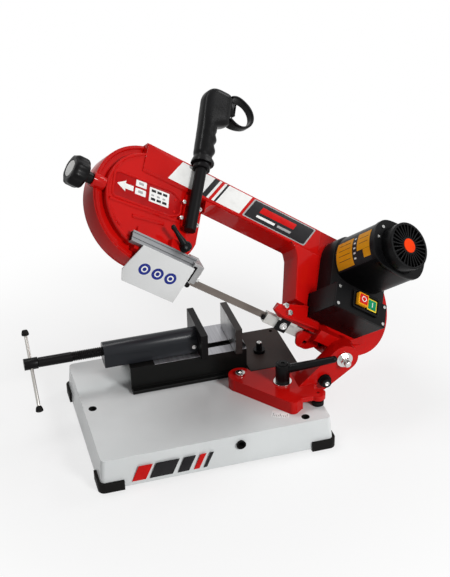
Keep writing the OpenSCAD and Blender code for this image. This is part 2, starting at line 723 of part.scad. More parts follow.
// The drive: gear case, motor and switch.
module drive_bearing() color("#b9bbbe") on_bow() difference() {
    post(drive_x, wheel_r, bow_front - bow_wall, bow_wall + 4, bearing_r);
    post(drive_x, wheel_r, bow_front - bow_wall - 1, bow_wall + 6, drive_shaft_r + run_gap);
}
module case_plan(inset) {
    translate([motor_x, motor_y]) circle(case_half - inset);
    translate([motor_x - case_half + inset, case_low + inset])
        square([2*(case_half - inset), motor_y - case_low - inset]);
}
module gear_case() color("#1d1d1f") on_bow() difference() {
    translate([0, 0, case_z]) linear_extrude(gear_case_h) case_plan(0);
    translate([0, 0, case_z - 1]) linear_extrude(gear_case_h - case_wall + 1) case_plan(case_wall);
    post(motor_x, motor_y, case_z, gear_case_h + 1, rotor_r + run_gap);
}
module motor_barrel() color("#1a1a1b") on_bow() difference() {
    post(motor_x, motor_y, case_top, motor_l, motor_r);
    post(motor_x, motor_y, case_top - 1, motor_l + 2, motor_r - barrel_wall);
}
module motor_stator() color("#7a5a3a") on_bow() difference() {
    post(motor_x, motor_y, case_top + 14, motor_l - 30, motor_r - barrel_wall);
    post(motor_x, motor_y, case_top + 13, motor_l - 28, 38.6);
}
module motor_endcap() color("#171718") on_bow() difference() {
    post(motor_x, motor_y, barrel_top, endcap_t, motor_r + 1.5);
    post(motor_x, motor_y, barrel_top - 1, endcap_t + 2, rotor_r + run_gap);
    for (a = [0:45:315]) post(motor_x + 26*cos(a), motor_y + 26*sin(a), barrel_top - 1, endcap_t + 2, 7);
}
vane_n = 28;
cap_boss_r = 15;
module fan_grille(hole) {
    difference() {
        circle(fan_collar_r);
        circle(fan_collar_r - 4);
    }
    difference() {
        union() {
            circle(cap_boss_r);
            for (i = [0:vane_n - 1]) rotate(360*i/vane_n)
                translate([cap_boss_r - 1, -0.9]) square([fan_collar_r - cap_boss_r - 1, 1.8]);
        }
        circle(hole);
    }
}
module fan_cover() color("#151516") on_bow() translate([motor_x, motor_y, barrel_top + endcap_t]) {
    difference() {
        cylinder(h = fan_collar_h - 3, r = fan_collar_r);
        translate([0, 0, -1]) cylinder(h = fan_collar_h, r = fan_collar_r - 4);
    }
    translate([0, 0, fan_collar_h - 3]) linear_extrude(3) fan_grille(cap_boss_r - 2.5);
}
module fan_cap() color("#e23a06") on_bow()
    post(motor_x, motor_y, barrel_top + endcap_t + fan_collar_h - 3, 4, cap_boss_r - 2.5);

module switch_box() color("#1b1b1c") on_bow() difference() {
    block([switch_x, switch_y, bow_front], [switch_x + switch_l, switch_y + switch_w, switch_top - panel_t]);
    block([switch_x + 3, switch_y + 3, bow_front + 3],
        [switch_x + switch_l - 3, switch_y + switch_w - 3, switch_top]);
    translate([0, 0, case_z - 1]) linear_extrude(gear_case_h + 1.1) case_plan(-0.1);
    along_x(switch_x + switch_l - 6, gland_y, switch_top - 30, 9, 6);
}
module switch_panel() color("#232324") on_bow() difference() {
    block([switch_x, switch_y, switch_top - panel_t],
        [switch_x + switch_l, switch_y + switch_w, switch_top]);
    for (x = [stop_x, start_x]) translate([x, button_y, switch_top])
        cube([button_w + 2*button_gap, button_w + 2*button_gap, 4*panel_t], center = true);
}
module push_button(x, rise) {
    block([x - button_w/2, button_y - button_w/2, switch_top - panel_t - 8],
        [x + button_w/2, button_y + button_w/2, switch_top + rise]);
    block([x - button_w/2 - 2, button_y - button_w/2 - 2, switch_top - panel_t - 8],
        [x + button_w/2 + 2, button_y + button_w/2 + 2, switch_top - panel_t - slide_gap]);
}
module stop_button() color("#d8261a") on_bow() push_button(stop_x, button_h);
module start_button() color("#149a55") on_bow() push_button(start_x, 5);
module cable_gland() color("#161617") on_bow() difference() {
    union() {
        along_x(switch_x + switch_l - 3, gland_y, switch_top - 30, 14, 6);
        along_x(switch_x + switch_l, gland_y, switch_top - 30, 5, 9);
    }
    along_x(switch_x + switch_l - 4, gland_y, switch_top - 30, 20, 3.5);
}

// The handle: a tube up from the bow with a two-shell grip and a trigger in a loop.
collar_top = grip_low - (grip_r + grip_wave)*sin(grip_lean) - 0.1;
module handle_tube() color("#19191b") on_bow() translate([handle_x, 0, handle_z]) rotate([-90, 0, 0])
    difference() {
        union() {
            translate([0, 0, handle_low]) cylinder(h = grip_low + 12 - handle_low, d = handle_d);
            translate([0, 0, collar_top - 10]) cylinder(h = 10, r = handle_d/2 + 5);
        }
    }
head_x = 44;
head_low = grip_l - 48;
head_half = 13;
loop_x = head_x + 15;
loop_y = grip_l + 5;
loop_r = 31;
loop_bar = 5;
loop_half = 5;
trigger_w = 8;
trigger_l = 28;
trigger_back = 8;
trigger_out = 9;
trigger_room = 5;
trigger_y = loop_y - trigger_l/2;
module on_grip() on_bow() translate([handle_x, grip_low, handle_z]) rotate([0, 0, grip_lean]) children();
module grip_solid() difference() {
    union() {
        rotate([-90, 0, 0]) rotate_extrude() polygon(concat([[0, 0]],
            [for (i = [0:24]) [grip_r + grip_wave*cos(3*360*i/24), grip_l*i/24]], [[0, grip_l]]));
        translate([0, grip_l, 0]) sphere(grip_r + grip_wave);
        translate([0, 0, -head_half]) linear_extrude(2*head_half) polygon([[0, head_low], [18, head_low],
            [head_x - 8, head_low + 9], [head_x + 3, head_low + 18], [head_x + 9, loop_y - loop_r + 3],
            [head_x, loop_y - loop_r + loop_bar + 3], [head_x, loop_y + 15],
            [head_x - 5, loop_y + 22], [10, loop_y + 20], [-6, loop_y + 12]]);
        translate([0, 0, -loop_half]) linear_extrude(2*loop_half) difference() {
            translate([loop_x, loop_y]) circle(loop_r);
            translate([loop_x, loop_y]) circle(loop_r - loop_bar);
        }
    }
    translate([0, -1, 0]) rotate([-90, 0, -grip_lean]) cylinder(h = 13.5, r = handle_d/2 + 0.2);
    translate([head_x - trigger_back - trigger_room, trigger_y - 0.6, -trigger_w/2 - 0.3])
        cube([trigger_back + trigger_room + 2, trigger_l + 1.2, trigger_w + 0.6]);
}
module grip_front() color("#161617") on_grip() intersection() {
    grip_solid();
    block([-60, -10, 0], [100, 200, 60]);
}
module grip_back() color("#161617") on_grip() intersection() {
    grip_solid();
    block([-60, -10, -60], [100, 200, 0]);
}
module trigger() color("#1f1f21") on_grip() translate([head_x - trigger_back, trigger_y, -trigger_w/2])
    cube([trigger_back + trigger_out, trigger_l, trigger_w]);

// The band wheels with their shafts, carriage and gears.
spoke_ring = wheel_r*0.56;
spoke_hole = wheel_r*0.18;
module band_wheel(x, bore) difference() {
    union() {
        difference() {
            post(x, wheel_r, -rim_w/2, rim_w, wheel_r - wheel_gap);
            post(x, wheel_r, -rim_w/2 - 1, rim_w + 2, wheel_r - 9);
        }
        post(x, wheel_r, -3, 6, wheel_r - 8);
        post(x, wheel_r, -rim_w/2, rim_w, bore + 10);
    }
    post(x, wheel_r, -rim_w/2 - 1, rim_w + 2, bore);
    for (a = [0:60:300]) post(x + spoke_ring*cos(a), wheel_r + spoke_ring*sin(a), -5, 10, spoke_hole);
}
module idler_wheel() color("#9b9da0") on_bow() band_wheel(idler_x, axle_r + run_gap);
module idler_axle() color("#a5a7aa") on_bow() {
    post(idler_x, wheel_r, -rim_w/2 - 1.5, carriage_z + 6 + rim_w/2 + 1.5, axle_r);
    post(idler_x, wheel_r, -rim_w/2 - 3.5, 2, axle_r + 4);
}
module idler_carriage() color("#7d7f82") on_bow() difference() {
    block([idler_x - carriage_l/2, wheel_r - carriage_w/2, carriage_z],
        [idler_x + carriage_l/2, wheel_r + carriage_w/2, bow_front - bow_wall - slide_gap]);
    post(idler_x, wheel_r, carriage_z - 1, 7, axle_r);
    along_x(idler_x - carriage_l/2 - 1, knob_y, knob_z, 17, tension_r + run_gap);
}
module tension_knob() color("#141416") on_bow() {
    along_x(knob_x + knob_l - 2, knob_y, knob_z, idler_x - carriage_l/2 + 15 - knob_x - knob_l, tension_r);
    along_x(knob_x, knob_y, knob_z, knob_l, knob_r);
    along_x(knob_x + knob_l, knob_y, knob_z, 14 - slide_gap, 9);
}
module drive_wheel() color("#9b9da0") on_bow() band_wheel(drive_x, drive_shaft_r);
module drive_shaft() color("#a2a4a7") on_bow()
    post(drive_x, wheel_r, -rim_w/2 - 2, gear_z + gear_t + 4 + rim_w/2 + 2, drive_shaft_r);
module gear_plan(teeth, phase) {
    pitch_r = gear_module*teeth/2;
    root_r = pitch_r - 1.2*gear_module;
    circle(root_r);
    for (i = [0:teeth - 1]) rotate(phase + 360*i/teeth) polygon([
        [root_r - 0.5, -0.32*PI*gear_module], [pitch_r, -0.2*PI*gear_module],
        [pitch_r + 0.75*gear_module, -0.09*PI*gear_module],
        [pitch_r + 0.75*gear_module, 0.09*PI*gear_module],
        [pitch_r, 0.2*PI*gear_module], [root_r - 0.5, 0.32*PI*gear_module]]);
}
module drive_gear() color("#8b6f3c") on_bow() translate([drive_x, wheel_r, gear_z]) linear_extrude(gear_t)
    difference() {
        gear_plan(gear_teeth, gear_angle + 180/gear_teeth);
        circle(drive_shaft_r);
    }
fan_z = barrel_top + endcap_t + 4;
module motor_rotor() color("#86888b") on_bow() {
    translate([motor_x, motor_y, gear_z]) linear_extrude(gear_t) gear_plan(pinion_teeth, gear_angle + 180);
    post(motor_x, motor_y, gear_z + gear_t, fan_z + 14 - gear_z - gear_t, rotor_r);
    difference() {
        post(motor_x, motor_y, case_top + 14, motor_l - 30, 38);
        post(motor_x, motor_y, case_top + 13, motor_l, rotor_r);
    }
}
module cooling_fan() color("#2c2c2f") on_bow() translate([motor_x, motor_y, fan_z]) difference() {
    union() {
        cylinder(h = 12, r = 14);
        for (a = [0:45:315]) rotate([0, 0, a]) translate([10, -1.2, 1]) cube([24, 2.4, 10]);
    }
    translate([0, 0, -1]) cylinder(h = 14, r = rotor_r);
}
// The sliding guide: a bar on the left drum, the blade guard and the guide block.
module guide_bar() color("#c3c5c8") on_bow()
    block([guide_x, guide_y, guide_z], [guide_x + guide_l, guide_y + guide_w, guide_z + guide_t]);
module blade_guard() color("#dcdde0") {
    on_pivot() translate([0, guard_y, 0]) rotate([90, 0, 0]) translate([0, 0, -guard_t])
        linear_extrude(guard_t) polygon([[guide_x + 12, blade_drop - guard_drop + 18],
            [guide_x + 22, blade_drop - guard_drop], [guide_x + 12 + guard_l, blade_drop - guard_drop],
            [guide_x + 12 + guard_l, guard_top], [guide_x + 22, guard_top]]);
    on_bow() block([guide_x + 22, guide_y + 0.5, guide_z + guide_t],
        [guide_x + 12 + guard_l, guide_y + guide_w - 4, guide_z + guide_t + guard_t]);
}
// Height at which the guard's sheet meets its bent flange on the guide bar.
guard_top = blade_drop + (guide_y + 0.5)*sin(bow_tilt) + (guide_z + guide_t + guard_t)*cos(bow_tilt) + 0.8;
module left_guide() color("#202023") difference() {
    on_pivot() block([guide_x + guide_l - 6, guard_y + guard_t, blade_drop - 9],
        [guide_x + guide_l + 20, blade_y + 12, 34]);
    on_bow() block([guide_x - 1, guide_y, guide_z],
        [guide_x + guide_l, guide_y + guide_w, guide_z + guide_t + guard_t]);
    on_pivot() block([guide_x, blade_y - 1.4, blade_drop - 40],
        [guide_x + guide_l + 30, blade_y + 1.4, blade_drop + band_w/2 + 1]);
}
guide_lever_x = guide_seat_x - 11;
module guide_lever() color("#131315") on_bow() {
    post(guide_lever_x, clamp_pin_y, guide_z - 1, guide_t + 4, clamp_pin_r);
    post(guide_lever_x, clamp_pin_y, guide_z + guide_t + slide_gap, 14, 9);
    translate([guide_lever_x, clamp_pin_y, guide_z + guide_t + 9]) rotate([0, 0, 142]) hull($fn = 32) {
        translate([4, 0, 0]) sphere(6);
        translate([52, 0, 6]) sphere(4.5);
    }
}

stand() base_tray();
stand() corner_feet();
stand() vise_bed();
stand() bed_bolts();
stand() fixed_jaw();
stand() jaw_gusset();
stand() vise_nut();
stand() swivel_plate();
stand() plate_stop();
stand() miter_bolt();
stand() moving_jaw();
stand() jaw_cover();
stand() cover_screws();
stand() lead_screw();
stand() tommy_bar();
stand() bar_caps();
stand() swivel_support();
stand() arm_shaft();
stand() shaft_washer();
stand() shaft_nut();
stand() stop_bolt();
stand() support_bumper();
stand() clamp_stud();
stand() clamp_lever();
stand() arm_frame();
stand() rear_cover();
stand() cover_knobs();
stand() saw_band();
stand() guide_bracket();
stand() right_guide();
stand() arm_screws();
stand() drive_bearing();
stand() gear_case();
stand() motor_barrel();
stand() motor_stator();
stand() motor_endcap();
stand() fan_cover();
stand() fan_cap();
stand() switch_box();
stand() switch_panel();
stand() cable_gland();
stand() handle_tube();
stand() grip_front();
stand() grip_back();
stand() idler_carriage();
stand() idler_axle();
stand() idler_wheel();
stand() tension_knob();
stand() drive_wheel();
stand() drive_shaft();
stand() drive_gear();
stand() motor_rotor();
stand() cooling_fan();
stand() trigger();
stand() stop_button();
stand() start_button();
stand() guide_bar();
stand() blade_guard();
stand() left_guide();
stand() guide_lever();
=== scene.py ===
# %% [markdown]
# # A small metal-cutting band saw
# The saw is a red cast bow on a pale steel tray. The solids come from the packed model. This lesson gives
# every solid its finish and adds the forms that solids alone leave out: teeth, threads, grooves and labels.

# %% Load the solids
import json
import math
import bmesh
import bpy
import numpy as np
from mathutils import Matrix, Vector


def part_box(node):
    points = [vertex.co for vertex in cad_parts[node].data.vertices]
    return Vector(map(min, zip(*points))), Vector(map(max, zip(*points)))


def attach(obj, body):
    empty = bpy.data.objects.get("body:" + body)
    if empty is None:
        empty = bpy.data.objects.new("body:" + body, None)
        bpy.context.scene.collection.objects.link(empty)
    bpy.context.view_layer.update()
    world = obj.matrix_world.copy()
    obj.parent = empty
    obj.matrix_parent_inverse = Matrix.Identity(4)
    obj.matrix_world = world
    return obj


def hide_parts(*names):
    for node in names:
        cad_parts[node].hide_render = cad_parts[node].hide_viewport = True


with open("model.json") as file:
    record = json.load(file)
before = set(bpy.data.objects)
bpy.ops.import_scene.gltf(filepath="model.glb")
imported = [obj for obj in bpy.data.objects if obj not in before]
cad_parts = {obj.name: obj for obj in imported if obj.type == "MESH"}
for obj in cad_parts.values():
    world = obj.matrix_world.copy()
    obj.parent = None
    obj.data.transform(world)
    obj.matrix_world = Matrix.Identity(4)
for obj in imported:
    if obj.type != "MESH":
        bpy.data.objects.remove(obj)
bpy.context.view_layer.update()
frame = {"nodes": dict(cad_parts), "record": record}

joints = {joint["name"]: joint for joint in frame["record"]["behaviour"]["joints"]}
nodes = frame["nodes"]
print("solids:", len(nodes), "joints:", len(joints))

# %% [markdown]
# ## Seats to build in
# The bow leans back by 42 degrees and slopes by 35, so nothing on it is square to the world. It would be
# hard to type world positions for a label on the bow. A seat is an origin and three axes, and a piece is
# written in the seat's own millimetres. The seats are read from the joints, so they follow the model.


# %% Seat
X_AXIS, Y_AXIS, Z_AXIS = (1, 0, 0), (0, 1, 0), (0, 0, 1)


class Seat:
    """An origin in metres and three unit axes. at() turns millimetres on those axes into world metres."""

    def __init__(self, origin, x, y, z):
        self.origin = np.array(origin, float)
        self.axes = np.array([x, y, z], float)

    def at(self, points):
        """World = origin + (x, y, z) in metres times the axes, for an array of any shape (..., 3)."""
        return self.origin + np.asarray(points, float) / 1000 @ self.axes

    def of(self, points):
        """The way back: millimetres on the axes for world points."""
        return (np.asarray(points, float) - self.origin) @ self.axes.T * 1000

    def moved(self, x, y, z):
        """The same axes with the origin moved along them by millimetres."""
        return Seat(self.at((x, y, z)), *self.axes)

    def tipped(self, first, second):
        """The same origin with a new x and y axis, given on the old axes. The new z is square to both."""
        x = np.array(first, float) @ self.axes
        y = np.array(second, float) @ self.axes
        return Seat(self.origin, x, y, np.cross(x, y))

    def turned(self, degrees):
        """The same origin with x and y turned about z."""
        turn = math.radians(degrees)
        return self.tipped((math.cos(turn), math.sin(turn), 0), (-math.sin(turn), math.cos(turn), 0))

    def front(self):
        """Axes for a face that looks towards minus y: x stays, and y takes the old z."""
        return self.tipped(X_AXIS, Z_AXIS)

    def end(self):
        """Axes for a section across x: x takes the old y, y the old z and z the old x."""
        return self.tipped(Y_AXIS, Z_AXIS)

    def span(self, node):
        """Lowest and highest corner of a solid, in this seat's millimetres."""
        mesh = nodes[node].data
        flat = np.empty(len(mesh.vertices) * 3)
        mesh.vertices.foreach_get("co", flat)
        local = self.of(flat.reshape(-1, 3))
        return local.min(0), local.max(0)

    def middle(self, node):
        """Middle of a solid's box, in this seat's millimetres."""
        low, high = self.span(node)
        return (low + high) / 2


print("one millimetre along x:", Seat((0, 0, 0), X_AXIS, Y_AXIS, Z_AXIS).at(X_AXIS), "m")

# %% Seats for the base, the arm and the bow
BAND_ON_ARM = (0, -28, -5.5)
tray_low, tray_high = (np.array(corner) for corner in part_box("base_tray"))
tray_x, tray_y, _ = (tray_low + tray_high) / 2
stand = Seat((tray_x, tray_y, 0), X_AXIS, Y_AXIS, Z_AXIS)
along = np.array(joints["guide_slip"]["axis"], float)
wheel_axis = np.array(joints["drive_spin"]["axis"], float)
pivot = np.array(joints["arm_swing"]["pos_m"], float)
pivot[1] = tray_y
arm = Seat(pivot, along, Y_AXIS, np.cross(along, Y_AXIS))
bow = Seat(arm.at(BAND_ON_ARM), along, np.cross(wheel_axis, along), wheel_axis)
bow_lean = math.acos(arm.axes[1] @ bow.axes[1])
print("bow starts at", bow.origin.round(4).tolist(), "and leans by", round(math.degrees(bow_lean), 2))

# %% [markdown]
# ## Camera
# The photograph was taken from the front left and from above. The lens and the place were worked out from
# the straight edges of the base, so the render can be laid over the picture.

# %% Camera
PHOTO_HIGH = 577
FOCAL_PIXELS = 1201.1
CAMERA_ROUND, CAMERA_UP, CAMERA_ROLL = -15.80, 30.35, -1.21
CAMERA_PLACE = (-421.2, -1696.8, 1289.6)
camera_data = bpy.data.cameras.new("camera")
camera_data.sensor_width = 36
camera_data.lens = FOCAL_PIXELS * camera_data.sensor_width / PHOTO_HIGH
camera = bpy.data.objects.new("camera", camera_data)
bpy.context.scene.collection.objects.link(camera)
bpy.context.scene.camera = camera
round_by, up_by, roll_by = (math.radians(angle) for angle in (CAMERA_ROUND, CAMERA_UP, CAMERA_ROLL))
level = np.array((math.cos(round_by), math.sin(round_by), 0))
reach = math.cos(up_by)
back = np.array((math.sin(round_by) * reach, -math.cos(round_by) * reach, math.sin(up_by)))
upright = np.cross(back, level)
right = math.cos(roll_by) * level + math.sin(roll_by) * upright
above = np.cross(back, right)
look = Matrix(np.array([right, above, back]).T.tolist()).to_4x4()
camera.matrix_world = Matrix.Translation(stand.at(CAMERA_PLACE).tolist()) @ look
print("lens", round(camera_data.lens, 2), "mm at", [round(v, 3) for v in camera.location])

# %% [markdown]
# ## Shader arithmetic
# A finish is a small graph of nodes. Wiring it by hand hides the formula, so a socket is wrapped in a class
# whose operators add Math nodes. Then 1 - mask reads as arithmetic. Every other node is made by one method.


# %% Wires
class Wire:
    """One output socket of a graph. Plus, minus and times between wires and numbers add Math nodes."""

    def __init__(self, graph, socket):
        self.graph = graph
        self.socket = socket

    def maths(self, operation, first, second):
        """A Math node on two wires or numbers."""
        return self.graph.node("ShaderNodeMath", {"operation": operation}, {0: first, 1: second})

    def __add__(self, other):
        return self.maths("ADD", self, other)

    __radd__ = __add__

    def __sub__(self, other):
        return self.maths("SUBTRACT", self, other)

    def __rsub__(self, other):
        return self.maths("SUBTRACT", other, self)

    def __mul__(self, other):
        return self.maths("MULTIPLY", self, other)

    __rmul__ = __mul__

    def over(self, level):
        """1 where the value is above the level, and 0 elsewhere."""
        return self.maths("GREATER_THAN", self, level)

    def ramp(self, low, high):
        """Smooth step from 0 at low to 1 at high."""
        settings = {"interpolation_type": "SMOOTHSTEP"}
        sockets = {"Value": self, "From Min": low, "From Max": high, "To Min": 0.0, "To Max": 1.0}
        return self.graph.node("ShaderNodeMapRange", settings, sockets)


print("operators on a wire:", [name for name in vars(Wire) if name in ("__add__", "__sub__", "__mul__")])


# %% Graphs and finishes
class Graph:
    """A node tree and the one method that adds nodes to it."""

    def __init__(self, tree):
        self.tree = tree

    def node(self, kind, settings, sockets, out=0):
        """Adds a node, sets its settings, then fills or links its sockets. Returns the chosen output."""
        made = self.tree.nodes.new(kind)
        for key, value in settings.items():
            setattr(made, key, value)
        for key, value in sockets.items():
            if isinstance(value, Wire):
                self.tree.links.new(value.socket, made.inputs[key])
            else:
                made.inputs[key].default_value = value
        return Wire(self, made.outputs[out])


class Finish(Graph):
    """A material with one Principled shader, the record slot it belongs to, and the methods that wire it."""

    def __init__(self, name, slot, roughness=0.5, metallic=0.0, **constants):
        self.slot = slot
        self.material = bpy.data.materials.new(name)
        self.material.use_nodes = True
        super().__init__(self.material.node_tree)
        self.shader = self.tree.nodes["Principled BSDF"]
        for key, value in {"Roughness": roughness, "Metallic": metallic, **constants}.items():
            self.shader.inputs[key.replace("_", " ")].default_value = value
        self.place = self.node("ShaderNodeTexCoord", {}, {}, "Object")

    def feed(self, socket, wire):
        """Links a wire to one input of the shader."""
        self.tree.links.new(wire.socket, self.shader.inputs[socket])

    def noise(self, scale, detail=3.0, place=None):
        """Cloudy value from 0 to 1. The scale is in blots for each metre."""
        sockets = {"Vector": place or self.place, "Scale": scale, "Detail": detail}
        return self.node("ShaderNodeTexNoise", {}, sockets)

    def cells(self, scale):
        """Distance to the nearest of many scattered points."""
        return self.node("ShaderNodeTexVoronoi", {}, {"Vector": self.place, "Scale": scale})

    def mix(self, amount, first, second):
        """Colour between first and second."""
        return self.node("ShaderNodeMix", {"data_type": "RGBA"}, {0: amount, 6: first, 7: second}, 2)

    def along(self, direction):
        """How far a point lies along a direction, in metres."""
        sockets = {0: self.place, 1: tuple(direction)}
        return self.node("ShaderNodeVectorMath", {"operation": "DOT_PRODUCT"}, sockets, "Value")

    def stretched(self, direction, ratio):
        """Places squeezed along a direction, so that a noise read there is drawn out into streaks."""
        pull = self.along(direction) * (ratio - 1)
        sockets = {0: tuple(direction), "Scale": pull}
        line = self.node("ShaderNodeVectorMath", {"operation": "SCALE"}, sockets)
        return self.node("ShaderNodeVectorMath", {"operation": "ADD"}, {0: self.place, 1: line})

    def bump(self, height, depth_mm):
        """Height from 0 to 1 becomes a swelling of so many millimetres."""
        normal = self.node("ShaderNodeBump", {}, {"Distance": depth_mm / 1000, "Height": height}, "Normal")
        self.feed("Normal", normal)


print("a finish can make:", [name for name in vars(Finish) if not name.startswith("_")])


# %% Tints
def tint(red, green, blue):
    """A colour as a picture editor shows it, 0 to 255, as the linear colour that a shader takes."""
    value = np.array((red, green, blue)) / 255
    linear = np.where(value <= 0.04045, value / 12.92, ((value + 0.055) / 1.055) ** 2.4)
    return (*linear.tolist(), 1.0)


print("tint of mid grey:", [round(c, 3) for c in tint(128, 128, 128)])

# %% [markdown]
# ## Paint
# The bow is cast metal with a hard gloss enamel. Real enamel isn't one red: the coat is a little thinner in
# places, and its skin ripples like orange peel. Two noises give the drift of colour and the ripple. The
# tray has the same kind of coat in near white, and the small black parts a pebbled powder coat.


# %% Painted finishes
def enamel(name, slot, colour, deep, roughness, gloss, coat, ripple):
    """Gloss paint: two shades drift into each other, dust dulls it in clouds, and the skin ripples."""
    finish = Finish(name, slot, roughness, Specular_IOR_Level=gloss, Coat_Weight=coat, Coat_Roughness=0.05)
    drift = finish.noise(9, 4)
    dust = finish.noise(38, 5).ramp(0.45, 0.75)
    finish.feed("Base Color", finish.mix(drift.ramp(0.3, 0.7), deep, colour))
    finish.feed("Roughness", roughness + dust * 0.08)
    finish.bump(finish.noise(420, 2) * 0.7 + finish.noise(60, 2) * 1.6, ripple)
    return finish


def powder(name, slot, colour, deep, roughness, grain, gloss=0.1):
    """Powder coat: a fine even pebble with faint soiling."""
    finish = Finish(name, slot, roughness, Specular_IOR_Level=gloss)
    soil = finish.noise(14, 5).ramp(0.42, 0.72)
    pebble = finish.noise(1500, 2)
    finish.feed("Base Color", finish.mix(soil * 0.5 + (pebble - 0.5) * 0.25, colour, deep))
    finish.feed("Roughness", roughness + soil * 0.1 + (pebble - 0.5) * 0.15)
    finish.bump(pebble, grain)
    return finish


def moulded(name, slot, colour, deep, roughness, grain, scale=1100, gloss=0.1):
    """Moulded plastic: a leathery texture of small cells, with handled patches a little smoother."""
    finish = Finish(name, slot, roughness, Specular_IOR_Level=gloss)
    cell = finish.cells(scale)
    worn = finish.noise(26, 4).ramp(0.4, 0.7)
    finish.feed("Base Color", finish.mix(worn, colour, deep))
    finish.feed("Roughness", roughness + cell * 0.12 - worn * 0.10)
    finish.bump(cell, grain)
    return finish


red_paint = enamel("red_enamel", "red_paint", tint(192, 13, 9), tint(176, 8, 6), 0.3, 0.05, 0.2, 0.008)
pale_paint = enamel("pale_enamel", "pale_paint", tint(218, 221, 221), tint(212, 215, 215), 0.34, 0.3, 0.12,
                    0.002)
guard_paint = powder("guard_coat", "pale_paint", tint(216, 217, 217), tint(202, 202, 200), 0.46, 0.02)
black_paint = powder("black_powder_coat", "black_paint", tint(15, 14, 15), tint(10, 9, 10), 0.30, 0.02)
cover_paint = powder("blue_black_paint", "black_paint", tint(33, 35, 39), tint(25, 27, 30), 0.30, 0.02, 0.2)
brown_black = powder("brown_black_paint", "brown_black", tint(54, 45, 42), tint(42, 35, 33), 0.46, 0.04)
black_plastic = moulded("black_plastic", "black_plastic", tint(14, 14, 15), tint(9, 9, 10), 0.28, 0.012)
rubber = moulded("black_rubber", "rubber", tint(20, 19, 18), tint(14, 13, 13), 0.60, 0.04, 800)
orange_cap = moulded("orange_cap", "orange_cap", tint(236, 62, 8), tint(222, 50, 5), 0.42, 0.015)
red_button = moulded("red_button", "red_button", tint(206, 36, 30), tint(190, 26, 22), 0.36, 0.01)
green_button = moulded("green_button", "green_button", tint(16, 142, 96), tint(12, 124, 84), 0.36, 0.01)
print("painted finishes:", len(bpy.data.materials))

# %% [markdown]
# ## Metal
# Bare metal on the saw was drawn, turned or milled, and each leaves fine lines in one direction. A noise
# read from stretched places draws those lines. Metallic stays at 1 and the lines change the roughness.


# %% Metal finishes
def brushed(name, slot, colour, dull, direction, roughness, scratch, scale=600, blotch=0.4):
    """Worked metal: streaks along a direction change the roughness, and a soft blotch dulls the colour."""
    finish = Finish(name, slot, roughness, 1.0)
    streak = finish.noise(scale, 3, finish.stretched(direction, 0.03))
    stain = finish.noise(24, 5).ramp(0.42, 0.75)
    finish.feed("Base Color", finish.mix(stain * blotch + (streak - 0.5) * 0.5, colour, dull))
    finish.feed("Roughness", roughness + (streak - 0.5) * 0.22 + stain * 0.10)
    finish.bump(streak, scratch)
    return finish


def cast(name, slot, colour, dull, roughness, pit):
    """Cast metal: a sandy skin with shallow pits and stains."""
    finish = Finish(name, slot, roughness, 0.55)
    sand = finish.noise(700, 4)
    stain = finish.noise(30, 5).ramp(0.35, 0.72)
    finish.feed("Base Color", finish.mix(stain, colour, dull))
    finish.feed("Roughness", roughness + (sand - 0.5) * 0.25)
    finish.bump(sand, pit)
    return finish


across = Y_AXIS
steel = brushed("drawn_steel", "steel", tint(176, 174, 170), tint(126, 123, 118), along, 0.34, 0.01)
bright = brushed("bright_plate", "bright", tint(214, 214, 212), tint(172, 172, 172), Z_AXIS, 0.17, 0.004)
alloy = brushed("drawn_alloy", "alloy", tint(128, 129, 131), tint(100, 101, 103), along, 0.44, 0.012)
grey_block = cast("grey_guide_block", "grey_block", tint(206, 206, 202), tint(182, 182, 178), 0.46, 0.03)
iron = cast("dark_iron", "iron", tint(46, 42, 40), tint(34, 31, 30), 0.50, 0.05)
milled = brushed("milled_iron", "iron", tint(168, 168, 168), tint(112, 112, 114), across, 0.36, 0.01, 500)
brass = cast("cast_bronze", "brass", tint(176, 138, 72), tint(132, 98, 50), 0.42, 0.04)
copper_pack = brushed("copper_windings", "copper_pack", tint(184, 102, 58), tint(128, 66, 36), wheel_axis,
                      0.42, 0.05, 900)
band_steel = brushed("band_steel", "steel", tint(122, 114, 108), tint(88, 80, 76), along, 0.40, 0.008, 500)
print("all finishes:", len(bpy.data.materials))

# %% [markdown]
# ## Vise bed
# The bed is a folded steel channel, painted black, and its top was milled so that the jaw slides on it. One
# finish holds both: the paint ends where the height reaches the top face, to the right of the moving jaw.

# %% Vise bed finish
BED_TOP_M, PAINT_EDGE_M = 0.109, 0.0003
MILLED_FROM_X = -64
bed_finish = Finish("part_milled_bed", "black_paint", 0.42, Specular_IOR_Level=0.15)
bed_streak = bed_finish.noise(500, 3, bed_finish.stretched(across, 0.03))
bed_high = bed_finish.along(Z_AXIS).over(BED_TOP_M - PAINT_EDGE_M)
bed_right = bed_finish.along(X_AXIS).over(float(stand.at((MILLED_FROM_X, 0, 0))[0]))
bare = bed_high * bed_right
bed_metal = bed_finish.mix(bed_streak, tint(128, 128, 132), tint(188, 188, 192))
bed_finish.feed("Base Color", bed_finish.mix(bare, tint(12, 12, 11), bed_metal))
bed_finish.feed("Metallic", bare * 0.9)
bed_finish.feed("Roughness", 0.40 - bare * 0.06 + (bed_streak - 0.5) * 0.2)
bed_finish.bump(bed_finish.noise(1500, 2), 0.03)
print("bed is bare from x =", MILLED_FROM_X, "mm on its top face")

# %% [markdown]
# ## Labels
# Labels are printed vinyl, a fifth of a millimetre thick. A picture could be laid on the casting, but a
# real label has an edge that catches the light. So each one is a thin slab, and its ink is a little uneven.


